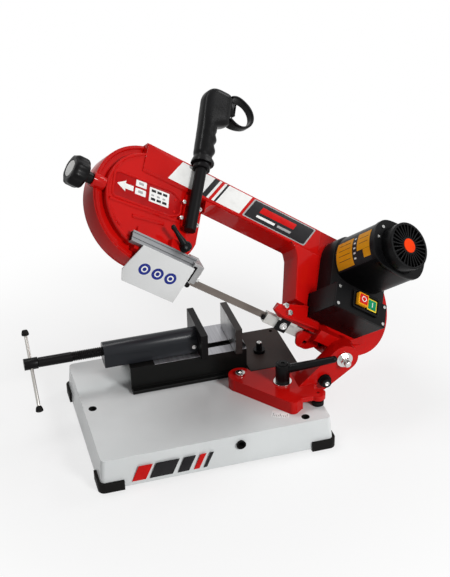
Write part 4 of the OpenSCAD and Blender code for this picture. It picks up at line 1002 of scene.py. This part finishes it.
# %% Clamp, nose and nut
arm_end = arm.end()
block_low, block_high = arm.span("right_guide")
CLAMP_OUT, CLAMP_FROM, CLAMP_TO, NUT_X = 1, 25, 45, 35
waist = rounded(box_outline(block_low[1] - CLAMP_OUT, block_low[2] - 0.6,
                            block_high[1] + CLAMP_OUT, block_high[2] + 0.6), 1)
guide_clamp = slab(arm_end, waist, block_low[0] + CLAMP_FROM, block_low[0] + CLAMP_TO, 0.6)
skin("right_guide_clamp", guide_clamp, "arm", black_paint)
nib = rounded(box_outline(-33, block_low[2] + 4, -23, block_low[2] + 12), 1)
skin("right_guide_nose", slab(arm_end, nib, block_low[0] - 5, block_low[0] + 1, 0.5), "arm", black_paint)
clamp_front = arm.moved(0, block_low[1] - CLAMP_OUT, 0).front()
clamp_nut_rows = [(0, -0.2, 0), (6.6, -0.2, 0), (6.6, 0.8, 0), (5.2, 0.9, 1), (5.2, 3.4, 1), (5.0, 4, 0.2),
                  (2.6, 4, 0), (2.6, 2.6, 0), (0, 2.6, 0)]
clamp_nut_seat = clamp_front.moved(block_low[0] + NUT_X, (block_low[2] + block_high[2]) / 2, 0)
skin("right_guide_nut", spun(clamp_nut_seat, clamp_nut_rows, hexagon, 48), "arm", bright)
print("right guide is", round(float(block_high[0] - block_low[0]), 1), "mm long")

# %% Bracket face and tab
FACE_LOW, FACE_HIGH = 27, 32.6
FACE = [(-157.3, 1.3), (-135.1, -4.6), (-55.7, 1.3), (-62, 10), (-86.5, 13), (-86.5, 35.5), (-113, 27.8),
        (-148.6, 15.2)]
skin("bracket_face", slab(bow, rounded(FACE, 2.2), FACE_LOW, FACE_HIGH, 1.4, 5), "arm", red_paint)


def holed(seat, outline, centre, radius, low, high):
    """A plate with a round hole: four rings, outer low, outer high, inner high and inner low. Each point of
    the hole lies in the direction of its outline point."""
    outer = np.array(outline, float)
    ray = outer - centre
    inner = centre + radius * ray / np.linalg.norm(ray, axis=1, keepdims=True)
    rings = [flat_path(line, height) for line, height in
             ((outer, low), (outer, high), (inner, high), (inner, low))]
    return seat.at(np.stack(rings))


TAB = [(-84, -9), (-77, 1), (-45.1, 2), (-32.4, -12), (-51.7, -27.9), (-73, -28)]
TAB_HOLE, TAB_HOLE_R = np.array((-61.3, -16.1)), 4.2
TAB_LOW, TAB_HIGH = 34.5, 40
tab_seat = arm.front()
tab = holed(tab_seat, rounded(TAB, 5), TAB_HOLE, TAB_HOLE_R, TAB_LOW, TAB_HIGH)
skin("bracket_tab", tab, "arm", red_paint, ring=True)
tab_bush = spun(tab_seat.moved(*TAB_HOLE, 0), [(0, 32, 0), (6, 32, 0), (6, 35, 0), (0, 35, 0)])
skin("bracket_tab_bush", tab_bush, "arm", black_plastic)
print("tab is", round(TAB_HIGH - TAB_LOW, 1), "mm thick")

# %% [markdown]
# ## Guide lever
# A black lever clamps the bar. Its hub is turned. Its arm is thin, rises a little and has a swollen round
# tip, which a cone and a ball would show as two parts, so one row of round sections makes it.

# %% Guide lever
lever_low, lever_high = bow.span("guide_lever")
HUB_R, LEVER_L, LEVER_TURN, TIP_R = 9, 42, 148, 5
LEVER_UP, LEVER_RISE = 18.5, 0.12
hub_seat = bow.moved(lever_high[0] - HUB_R, lever_low[1] + HUB_R, lever_low[2])
hub_rows = [(0, 0, 0), (3, 0, 0), (3, 11.4, 0), (8, 11.4, 0), (8.6, 12.2, 0), (8.6, 21, 0), (7.6, 24, 0),
            (4.2, 25.4, 0), (3.6, 24.6, 0), (0, 24.6, 0)]
lever_hub = skin("guide_lever_hub", spun(hub_seat, hub_rows), "guide_clamp", black_plastic)
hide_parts("guide_lever")


def lever_arm(rows=40, sides=28):
    """Round sections along x: the radius narrows from 6 to 3.6, swells to a round tip, and the arm rises."""
    x = LEVER_L * np.sin(np.linspace(0, math.pi / 2, rows))[:, None]
    tip = np.sqrt(np.clip(1 - (np.clip(x - LEVER_L + TIP_R, 0, None) / TIP_R) ** 2, 0, 1))
    radius = (6 - 2.4 * ease(x, 4, 30) + 0.9 * ease(x, 30, LEVER_L)) * tip
    angle = np.arange(sides)[None, :] * 2 * math.pi / sides
    height = LEVER_UP + x * LEVER_RISE + radius * np.sin(angle)
    return np.stack([x + 0 * angle, radius * np.cos(angle), height], -1)


skin("guide_lever_arm", hub_seat.turned(LEVER_TURN).at(lever_arm()), "guide_clamp", black_plastic)
print("lever is", LEVER_L, "mm long")

# %% [markdown]
# ## Guard sheet
# A painted sheet covers the band beside the left guide. It is one flat outline whose left corners are cut.
# Three round labels lie on it, each a stack of three thin discs, where a picture would need a file.

# %% Guard sheet and round labels
guard_low, guard_high = arm.span("blade_guard")
sheet_front = arm.moved(0, guard_low[1], 0).front()
GUARD_TOP, GUARD_T, CUT_WIDE, CUT_HIGH = 26.5, 2.4, 10, 18
left_edge, low_edge, right_edge = guard_low[0], guard_low[2], guard_high[0]
SHEET = [(left_edge, low_edge + CUT_HIGH), (left_edge + CUT_WIDE, low_edge), (right_edge, low_edge),
         (right_edge, GUARD_TOP), (left_edge + CUT_WIDE, GUARD_TOP)]
sheet = skin("guard_sheet", slab(sheet_front, rounded(SHEET, 1.5), -GUARD_T, 0, 0.4), "guide", guard_paint)
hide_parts("blade_guard")
ROUND_LABELS = [(-406.5, -9.3), (-382.1, -7.9), (-358.1, -6.2)]
DISCS = [("round_labels", 10.2, -0.2, 0.2, blue_film), ("label_centres", 5.6, 0, 0.35, white_film),
         ("label_cores", 3.4, 0.1, 0.5, blue_film)]
for name, radius, low, high, film in DISCS:
    discs = [disc(sheet_front.moved(x, n, 0), radius, low, high) for x, n in ROUND_LABELS]
    skin("guard_" + name, np.stack(discs), "guide", film)
print("guard is", round(float(right_edge - left_edge), 1), "mm long")

# %% [markdown]
# ## Left guide
# The sliding guide is a small milled block. Its dark slot is a flat black patch on the face, painted shade
# and not a cut. A leg reaches down to the band and holds a roller on a hexagonal pin. Separate plates and
# lathe shapes are used, because that is how it is put together.

# %% Left guide block, leg, roller and screws
left_low, left_high = arm.span("left_guide")
left_front = arm.moved(0, left_low[1], 0).front()
BLOCK_UP, BLOCK_WIDE, BAND_DEEP = 15, 19, 12
block_x, block_n, block_end = left_low[0], left_low[2] + BLOCK_UP, left_low[0] + BLOCK_WIDE
block_deep = left_high[1] - left_low[1]
block_plan = rounded(box_outline(block_x, block_n, block_end, left_high[2]), 1.5)
guide_block = skin("left_guide_block", slab(left_front, block_plan, -block_deep, 0, 0.5), "guide", milled)
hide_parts("left_guide")
# The slot is not cut: a thin black patch on the face paints the slot's shade.
slot_shade_plan = rounded(box_outline(block_x + 1.5, block_n + 1, block_x + 8, left_high[2] - 4), 1.2)
skin("left_guide_slot_shade", slab(left_front, slot_shade_plan, -0.4, 0.4), "guide", black_paint)
band_front = BAND_DEEP - block_deep
leg_plan = rounded(box_outline(block_x + 6, left_low[2] + 1, block_end - 1, block_n + 2), 2)
skin("left_guide_leg", slab(left_front, leg_plan, band_front + 1.6, band_front + 6, 0.4), "guide", milled)
roller_seat = left_front.moved(block_end - 6, left_low[2] + 7, band_front + 5.8)
roller_rows = [(0, 0, 0), (3.2, 0, 0), (3.2, 1.4, 0), (5, 1.6, 0), (5.4, 2.2, 0), (5.4, 7, 0), (5, 7.6, 0),
               (3.4, 7.8, 0), (3.4, 7.2, 0), (0, 7.2, 0)]
skin("left_guide_roller", spun(roller_seat, roller_rows), "guide", bright)
pin_rows = [(0, 7, 0), (4.2, 7, 0), (4.2, 11.6, 0), (3.4, 12.4, 0), (0, 12.4, 0)]
skin("left_guide_roller_pin", spun(roller_seat, pin_rows, hexagon, 36), "guide", black_paint)
SCREW_SUNK = 0.2
BLOCK_SCREWS = [("low", 6, 8, 4.6, 5), ("mid", 17, 17, 4.6, 8), ("top", 8, 22, 3, 3)]
for name, y, n, size, high in BLOCK_SCREWS:
    screw_end = arm_end.moved(left_low[1] + y, block_n + n, block_end - SCREW_SUNK)
    skin("left_guide_screw_" + name, socket_screw(screw_end, size, high), "guide", bright)
print("left guide is", round(float(block_deep), 1), "mm deep")

# %% [markdown]
# ## Screws, nut and washers
# The cap screws on the bow and the nut on the pivot are plated and bright. Each head has its real recess,
# and the nut has six flats, a chamfer and a rounded stud, because the flats are what glints in the picture.

# %% Fasteners
TUBE_R, SCREW_OUT, SCREW_ROWS = 9.75, 15.75, (84, 114)
BRACKET_SCREWS = [(-138, 13.7), (-128, 4.4)]
tube_bottom = tube_z - TUBE_R
handle_places = [(tube_x + side * SCREW_OUT, y) for side in (-1, 1) for y in SCREW_ROWS]
handle_screws = [socket_screw(bow.moved(x, y, tube_bottom), 3.5, 4) for x, y in handle_places]
bracket_top = FACE_HIGH - SCREW_SUNK
bracket_screws = [socket_screw(bow.moved(x, y, bracket_top), 4.8, 8) for x, y in BRACKET_SCREWS]
cap_screws = skin("arm_cap_screws", np.stack(handle_screws + bracket_screws), "arm", bright)
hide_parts("arm_screws")

pivot_x, _, pivot_z = stand.of(joints["arm_swing"]["pos_m"])
washer_front = stand.span("shaft_washer")[0][1]
nut_seat = stand.moved(pivot_x, washer_front, pivot_z).front()
nut_rows = [(0, 0, 0), (9.6, 0, 0), (9.6, 1.2, 0), (8.4, 1.3, 1), (8.4, 7.5, 1), (8.3, 8.6, 0.15),
            (5.4, 8.8, 0), (5.4, 14.5, 0), (4.8, 16.4, 0), (3, 17.8, 0), (0, 18.4, 0)]
nut = skin("pivot_nut", spun(nut_seat, nut_rows, hexagon, 72), "swivel", bright)
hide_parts("shaft_nut")

clamp_x, clamp_y, _ = stand.of(joints["clamp_turn"]["pos_m"])
HUB_TOP, SUPPORT_TOP = 121.6, 83.8
hub_cap_rows = [(0, -1, 0), (9.5, -1, 0), (9.5, 0.8, 0), (8.6, 1.6, 0), (3.6, 1.8, 1), (3.6, 0.2, 1),
                (0, 0.2, 0)]
hub_cap = spun(stand.moved(clamp_x, clamp_y, HUB_TOP), hub_cap_rows, hexagon, 72)
skin("clamp_hub_cap", hub_cap, "clamp", black_plastic)
washer_rows = [(0, -0.2, 0), (15.5, -0.2, 0), (15.5, 1.6, 0), (14.9, 2.2, 0), (0, 2.2, 0)]
skin("clamp_washer", spun(stand.moved(clamp_x, clamp_y, SUPPORT_TOP), washer_rows), "swivel", bright)
print("nut at", [round(float(v), 1) for v in stand.of(nut_seat.origin)])

# %% [markdown]
# ## Marks on the base
# The front of the tray has slanted bars in red and black, and a small angle scale lies under the pointer of
# the swivel. They are thin films on the steel.

# %% Base stripes and angle scale
tray_front = stand.span("base_tray")[0][1]
base_front = stand.moved(0, tray_front, 0).front()
BAR_LOW, BAR_HIGH, BAR_LEAN = 11, 40, 13
BASE_BARS = [("red_wide", -152, 24, red_film), ("black_wide", -122, 40, black_film),
             ("black_middle", -74, 20, black_film), ("red_middle", -46, 10, red_film),
             ("black_thin", -29, 6, black_film)]
for name, x0, wide, film in BASE_BARS:
    x1 = x0 + wide
    bar = [(x0, BAR_LOW), (x1, BAR_LOW), (x1 + BAR_LEAN, BAR_HIGH), (x0 + BAR_LEAN, BAR_HIGH)]
    label("base_bar_" + name, base_front, bar, 0, film, "base")

BASE_TOP, SCALE_X, SCALE_Y, SCALE_TURN = 59.5, 107, -108, -27
TICK_FROM, TICK_TO, TICK_STEP, TICK_FOOT, LONG_TICK, SHORT_TICK = 3, 3.7, 3, -8, 9, 5
scale_seat = stand.moved(SCALE_X, SCALE_Y, BASE_TOP).turned(SCALE_TURN)
label("scale_strip", scale_seat, box_outline(0, -9, 30, 9), 0, scale_film, "base", 1)
for index in range(9):
    high = LONG_TICK if index % 4 == 0 else SHORT_TICK
    x0, x1 = TICK_FROM + TICK_STEP * index, TICK_TO + TICK_STEP * index
    tick = box_outline(x0, TICK_FOOT, x1, TICK_FOOT + high)
    label("scale_tick_%d" % index, scale_seat, tick, FILM, black_film, "base", 0.2)
print("tray front at y =", round(float(tray_front), 1))

# %% [markdown]
# ## Holes in the tray
# Three bench holes and a cable hole look black in the picture, because the tray is deep and unlit. Each has
# a low rubber lip on the face and a black tube down the hole, a ring section spun about it, so that the hole
# stays open. The tube's black is painted shade of the unlit tray inside. Near them, the heads of the angle
# stop and of the stop bolt get their sockets.

# %% Rubber bushes and stop heads
BENCH_HOLES = [(159, -135), (159, 135), (-184.5, 0)]
BENCH_R, BENCH_DEEP = 6.25, 16
CABLE_X, CABLE_Z, CABLE_R, CABLE_DEEP = 38, 42, 7.5, 26


def bush_and_shade_tube(seat, radius, deep):
    """A rubber lip on the face, and a black tube down the hole as painted shade. Rows close on themselves."""
    rows = [(radius + 0.9, 0.02, 0), (radius + 0.7, 0.5, 0), (radius - 0.8, 0.5, 0), (radius - 1, 0, 0),
            (radius - 1, -deep, 0), (radius - 0.1, -deep, 0), (radius - 0.1, 0.02, 0)]
    return spun(seat, rows)


# The deep black tubes are painted shade inside the tray's holes; only their lips stand for rubber bushes.
bench_bushes_and_shade = np.stack([bush_and_shade_tube(stand.moved(x, y, BASE_TOP), BENCH_R, BENCH_DEEP) for x, y in BENCH_HOLES])
skin("bench_hole_bushes_and_shade", bench_bushes_and_shade, "base", rubber, ring=True)
cable_seat = base_front.moved(CABLE_X, CABLE_Z, 0)
skin("cable_hole_bush_and_shade", bush_and_shade_tube(cable_seat, CABLE_R, CABLE_DEEP), "base", rubber, ring=True)

HEAD_SUNK = 0.3
peg_x, peg_y, _ = stand.middle("plate_stop")
peg_top = stand.span("plate_stop")[1][2]
peg_seat = stand.moved(peg_x, peg_y, peg_top - HEAD_SUNK)
skin("plate_stop_head", socket_screw(peg_seat, 4.4, 2.2), "base", bright)
bolt_x, _, bolt_z = stand.middle("stop_bolt")
bolt_front = stand.span("stop_bolt")[0][1]
bolt_seat = stand.moved(bolt_x, bolt_front + HEAD_SUNK, bolt_z).front()
skin("stop_bolt_head", socket_screw(bolt_seat, 4.2, 2), "swivel", bright)
print("bushes:", len(BENCH_HOLES) + 1)

# %% [markdown]
# ## Motor barrel and gear case
# The motor's barrel is a steel shell with flat upper and lower sides. A squashed cylinder would be an oval,
# so two soft flats are taken off a circle's radius. The windings inside follow the same section. The gear
# case behind has the same arch on a square foot.

# %% Barrel and windings
barrel_low, barrel_high = bow.span("motor_barrel")
motor_x, motor_y = (barrel_low[:2] + barrel_high[:2]) / 2
MOTOR_R = (barrel_high[0] - barrel_low[0]) / 2
MOTOR_SIDES, FLAT_TOP, FLAT_LOW, FLAT_POWER = 120, 48, 44, 8
SHELL_T, PACK_GAP, CORE_R = 3, 0.2, 38.6
motor = bow.moved(motor_x, motor_y, 0)


def flat_sided(angle):
    """Share of a circle's radius that two soft flats leave: (1 + top^8 + low^8) to the power -1/8.

    Top and low are how far the circle reaches past each flat, as a share of the flat's distance.
    """
    top = np.clip(np.sin(angle), 0, None) * MOTOR_R / FLAT_TOP
    low = np.clip(-np.sin(angle), 0, None) * MOTOR_R / FLAT_LOW
    return (1 + top ** FLAT_POWER + low ** FLAT_POWER) ** (-1 / FLAT_POWER)


shell_low, shell_high = barrel_low[2], barrel_high[2]
shell_rows = [(MOTOR_R - SHELL_T, shell_low, 1), (MOTOR_R, shell_low, 1), (MOTOR_R, shell_high, 1),
              (MOTOR_R - SHELL_T, shell_high, 1)]
shell_points = spun(motor, shell_rows, flat_sided, MOTOR_SIDES)
shell = skin("motor_shell", shell_points, "arm", black_paint, ring=True)
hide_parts("motor_barrel")
pack_low, pack_high = (corner[2] for corner in motor.span("motor_stator"))
pack_r = MOTOR_R - SHELL_T - PACK_GAP
pack_rows = [(CORE_R, pack_low, 0), (pack_r, pack_low, 1), (pack_r, pack_high, 1), (CORE_R, pack_high, 0)]
pack = skin("stator_pack", spun(motor, pack_rows, flat_sided, MOTOR_SIDES), "arm", copper_pack, ring=True)
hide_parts("motor_stator")
print("motor radius", round(float(MOTOR_R), 1))

# %% Gear case
case_low, case_high = motor.span("gear_case")
CASE_WALL, CASE_BORE, CASE_SHARE = 5, 7, 1.05
case_half = CASE_SHARE * MOTOR_R
bend = np.linspace(0, math.pi, 41)
case_arc = case_half * flat_sided(bend)
case_top = np.stack([case_arc * np.cos(bend), case_arc * np.sin(bend)], -1)
case_plan = np.vstack([case_top, [(-case_half, case_low[1]), (case_half, case_low[1])]])


def case_shell():
    """A closed section carried round the case's outline: outer wall, front with a round bore, inner wall."""
    inner = inset(case_plan, CASE_WALL)
    angle = np.arctan2(inner[:, 1], inner[:, 0])
    bore = CASE_BORE * np.stack([np.cos(angle), np.sin(angle)], -1)
    back, face = case_low[2], case_high[2]
    rows = [(case_plan, back), (case_plan, face - 1.2), (inset(case_plan, 0.4), face - 0.4),
            (inset(case_plan, 1.2), face), (bore, face), (bore, face - CASE_WALL), (inner, face - CASE_WALL),
            (inner, back)]
    return np.stack([flat_path(plan, height) for plan, height in rows])


case = skin("gear_case_shell", motor.at(case_shell()), "arm", black_paint, ring=True)
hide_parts("gear_case")
print("gear case is", round(float(case_high[2] - case_low[2]), 1), "mm deep")

# %% [markdown]
# ## Motor labels and end plate
# An orange label bends round the barrel. A flat slab would stand off at its ends, so the label's section is
# carried round the arc instead. The end plate has the barrel's section, with a round seat for the fan cover
# and four screws beside it.

# %% Motor labels
LABEL_FROM, LABEL_TO = 158, 216
BACK_PROUD, PRINT_PROUD, LINE_PROUD = 0.25, 0.45, 0.6


def barrel_label(name, from_angle, to_angle, low, high, finish, proud=PRINT_PROUD):
    """A thin rectangle, radius by height, carried round the barrel from one angle to the other."""
    angle = np.radians(np.linspace(from_angle, to_angle, 20))[:, None]
    radius = MOTOR_R * flat_sided(angle) + np.array([-0.4, proud, proud, -0.4])[None]
    height = np.array([low, low, high, high])[None] + 0 * angle
    points = np.stack([radius * np.cos(angle), radius * np.sin(angle), height], -1)
    skin("motor_label_" + name, motor.at(points), "arm", finish)


barrel_label("back", LABEL_FROM, LABEL_TO, 63.5, 152, black_film, BACK_PROUD)
barrel_label("left", 163, 213, 66, 107, orange_film)
barrel_label("right", 160, 193, 119, 151, orange_film)
barrel_label("corner", 193.5, 208, 134, 151, orange_film)
for side, low, wide, count in (("left", 73, 29, 4), ("right", 124, 22, 2)):
    for index in range(count):
        start = 171 + 9.5 * index
        name = "line_%s_%d" % (side, index)
        barrel_label(name, start, start + 0.8, low, low + wide, black_film, LINE_PROUD)
for index in range(5):
    start = 166 + 9 * index
    barrel_label("tick_%d" % index, start, start + 3, 110.5, 115.5, white_film)
print("the label goes round", LABEL_TO - LABEL_FROM, "degrees")

# %% End plate and its screws
end_seat = motor.moved(0, 0, motor.span("motor_endcap")[1][2])
end_rows = [(CASE_BORE, -9, 0), (59.8, -9, 1), (60.4, -8.2, 1), (60.4, -1, 1), (59.6, 0, 1), (43, 0, 0),
            (41, -0.4, 0), (CASE_BORE, -0.4, 0)]
end_points = spun(end_seat, end_rows, flat_sided, MOTOR_SIDES)
end_plate = skin("motor_end_plate", end_points, "arm", black_plastic, ring=True)
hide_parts("motor_endcap")
END_SCREW_R = 50
end_turns = np.radians([5, 32, 148, 175])
end_places = [(END_SCREW_R * math.cos(turn), END_SCREW_R * math.sin(turn)) for turn in end_turns]
end_screws = [socket_screw(end_seat.moved(x, y, -0.1), 2.8, 2) for x, y in end_places]
skin("motor_end_screws", np.stack(end_screws), "arm", bright)
print("end plate screws:", len(end_screws))

# %% [markdown]
# ## Switch
# The switch has a raised frame round its two buttons and a screw in each corner of its panel. The buttons
# have coloured sides. Their symbols, an O and an I, could be a picture, but they are thin raised shapes that
# need no file.

# %% Switch frame and panel screws
panel_low, panel_high = bow.span("switch_panel")
switch_top = panel_high[2]
stop_low, stop_high = bow.span("stop_button")
start_low, start_high = bow.span("start_button")
FRAME_OUT, SCREW_INSET = 4.5, 6
frame_line = rounded(box_outline(stop_low[0] - FRAME_OUT, stop_low[1] - FRAME_OUT,
                                 start_high[0] + FRAME_OUT, start_high[1] + FRAME_OUT), 3)
frame_bar = rounded(box_outline(-2, -1, 2, 4.5), 0.9)
switch_frame = carried(bow, flat_path(frame_line, switch_top), frame_bar, Z_AXIS, True)
skin("switch_frame", switch_frame, "arm", black_plastic, ring=True)
screw_places = [(x, y) for x in (panel_low[0] + SCREW_INSET, panel_high[0] - SCREW_INSET)
                for y in (panel_low[1] + SCREW_INSET, panel_high[1] - SCREW_INSET)]
screw_foot = switch_top - SCREW_SUNK
panel_screws = [socket_screw(bow.moved(x, y, screw_foot), 2.9, 1.8) for x, y in screw_places]
skin("switch_panel_screws", np.stack(panel_screws), "arm", bright)
print("switch panel screws:", len(screw_places))

# %% Button sides and symbols
PRESS, SIDE_OUT, SYMBOL_R = 3.3, 0.2, 4.4


def sleeve(name, low, high, top, finish, body):
    """A coloured cap round a button. It starts high enough to stay clear of the panel when pressed."""
    outline = rounded(box_outline(low[0] - SIDE_OUT, low[1] - SIDE_OUT, high[0] + SIDE_OUT,
                                  high[1] + SIDE_OUT), 1.2)
    skin(name, slab(bow, outline, switch_top + PRESS, top, 0.2), body, finish)


sleeve("stop_button_sides", stop_low, stop_high, stop_high[2] - 1.2, orange_film, "stop_body")
sleeve("start_button_sides", start_low, start_high, start_high[2] - 0.8, yellow_film, "start_body")
stop_x, stop_y, _ = bow.middle("stop_button")
start_x, start_y, _ = bow.middle("start_button")
sweep = np.linspace(0, 2 * math.pi, 72, endpoint=False)
circle = np.stack([stop_x + SYMBOL_R * np.cos(sweep), stop_y + SYMBOL_R * np.sin(sweep)], 1)
o_bar = rounded(box_outline(-0.7, -0.2, 0.7, 0.35), 0.15, 3)
o_ring = carried(bow, flat_path(circle, stop_high[2]), o_bar, Z_AXIS, True)
skin("stop_symbol", o_ring, "stop_body", white_film, ring=True)
i_bar = box_outline(start_x - 0.8, start_y - SYMBOL_R, start_x + 0.8, start_y + SYMBOL_R)
label("start_symbol", bow, i_bar, start_high[2], white_film, "start_body", 0.3, 0.35)
print("buttons stand", round(float(stop_high[2] - switch_top), 1), "mm proud")

# %% [markdown]
# ## Floor
# The picture has a white studio floor with a soft shadow on the left. The floor is near white. For the
# camera and for reflections part of it glows plain white, so the background is white at a plain lamp level,
# and the other part still takes the shadow.

# %% Floor
FLOOR_HALF, FLOOR_GREY = 6, 0.86
NEAR_SHARE, WHITE_FROM, WHITE_TO = 0.68, 0.32, 0.75
floor_mesh = bpy.data.meshes.new("floor")
floor_corners = [(x * FLOOR_HALF, y * FLOOR_HALF, 0) for x, y in ((-1, -1), (1, -1), (1, 1), (-1, 1))]
floor_mesh.from_pydata(floor_corners, [], [(0, 1, 2, 3)])
floor = bpy.data.objects.new("floor", floor_mesh)
bpy.context.scene.collection.objects.link(floor)


def seen(graph):
    """1 for a ray that the camera sees, straight, in a mirror or through glass, and 0 for other light."""
    kinds = ("Is Camera Ray", "Is Glossy Ray", "Is Transmission Ray")
    straight, mirrored, clear = (graph.node("ShaderNodeLightPath", {}, {}, kind) for kind in kinds)
    return straight + mirrored + clear


floor_finish = Finish("studio_floor", "pale_paint", 0.9, Specular_IOR_Level=0.1)
floor_finish.shader.inputs["Base Color"].default_value = (FLOOR_GREY, FLOOR_GREY, FLOOR_GREY, 1)
away = floor_finish.node("ShaderNodeVectorMath", {"operation": "LENGTH"}, {0: floor_finish.place}, "Value")
white = NEAR_SHARE + away.ramp(WHITE_FROM, WHITE_TO) * (1 - NEAR_SHARE)
glow = floor_finish.node("ShaderNodeEmission", {}, {"Color": (1, 1, 1, 1), "Strength": 1.0})
painted = Wire(floor_finish, floor_finish.shader.outputs[0])
blend = floor_finish.node("ShaderNodeMixShader", {}, {0: seen(floor_finish) * white, 1: painted, 2: glow})
floor_finish.tree.links.new(blend.socket, floor_finish.tree.nodes["Material Output"].inputs["Surface"])
floor_mesh.materials.append(floor_finish.material)
print("floor is", 2 * FLOOR_HALF, "m wide")

# %% [markdown]
# ## World and lamps
# The world is white to the camera and in reflections, and dim as a light, so that the lamps give the
# shadows. A strong key lamp stands at the right front, a weak one at the side and one above. Softboxes are
# used, because small lamps would leave hard shadows.

# %% World
WORLD_LIGHT = 0.19
world = bpy.data.worlds.new("studio")
bpy.context.scene.world = world
world.use_nodes = True
studio = Graph(world.node_tree)
sky = studio.tree.nodes["Background"]
sky.inputs["Color"].default_value = (1, 1, 1, 1)
sockets = {"Value": seen(studio), "To Min": WORLD_LIGHT, "To Max": 1.0}
strength = studio.node("ShaderNodeMapRange", {}, sockets)
studio.tree.links.new(strength.socket, sky.inputs["Strength"])
print("world nodes:", len(studio.tree.nodes))

# %% Lamps
LAMP_AIM = Vector((0, 0, 0.2))
LAMPS = [("key", (1.2, -2.3, 1.7), 0.7, 0.7, 56), ("side", (2.2, 0.6, 1.8), 0.7, 0.7, 14),
         ("top", (-0.5, 0.6, 2.4), 1.2, 0.4, 17)]


def softbox(name, place, width, high, power):
    """A rectangular lamp at a place in metres, turned to face the aim point."""
    lamp = bpy.data.lights.new(name, "AREA")
    lamp.shape = "RECTANGLE"
    lamp.size, lamp.size_y = width, high
    lamp.energy = power
    holder = bpy.data.objects.new(name, lamp)
    holder.location = place
    holder.rotation_euler = (LAMP_AIM - Vector(place)).to_track_quat("-Z", "Y").to_euler()
    bpy.context.scene.collection.objects.link(holder)


for lamp_values in LAMPS:
    softbox(*lamp_values)
bpy.context.scene.view_settings.view_transform = "Standard"
print("lamps:", len(bpy.data.lights))

# %% [markdown]
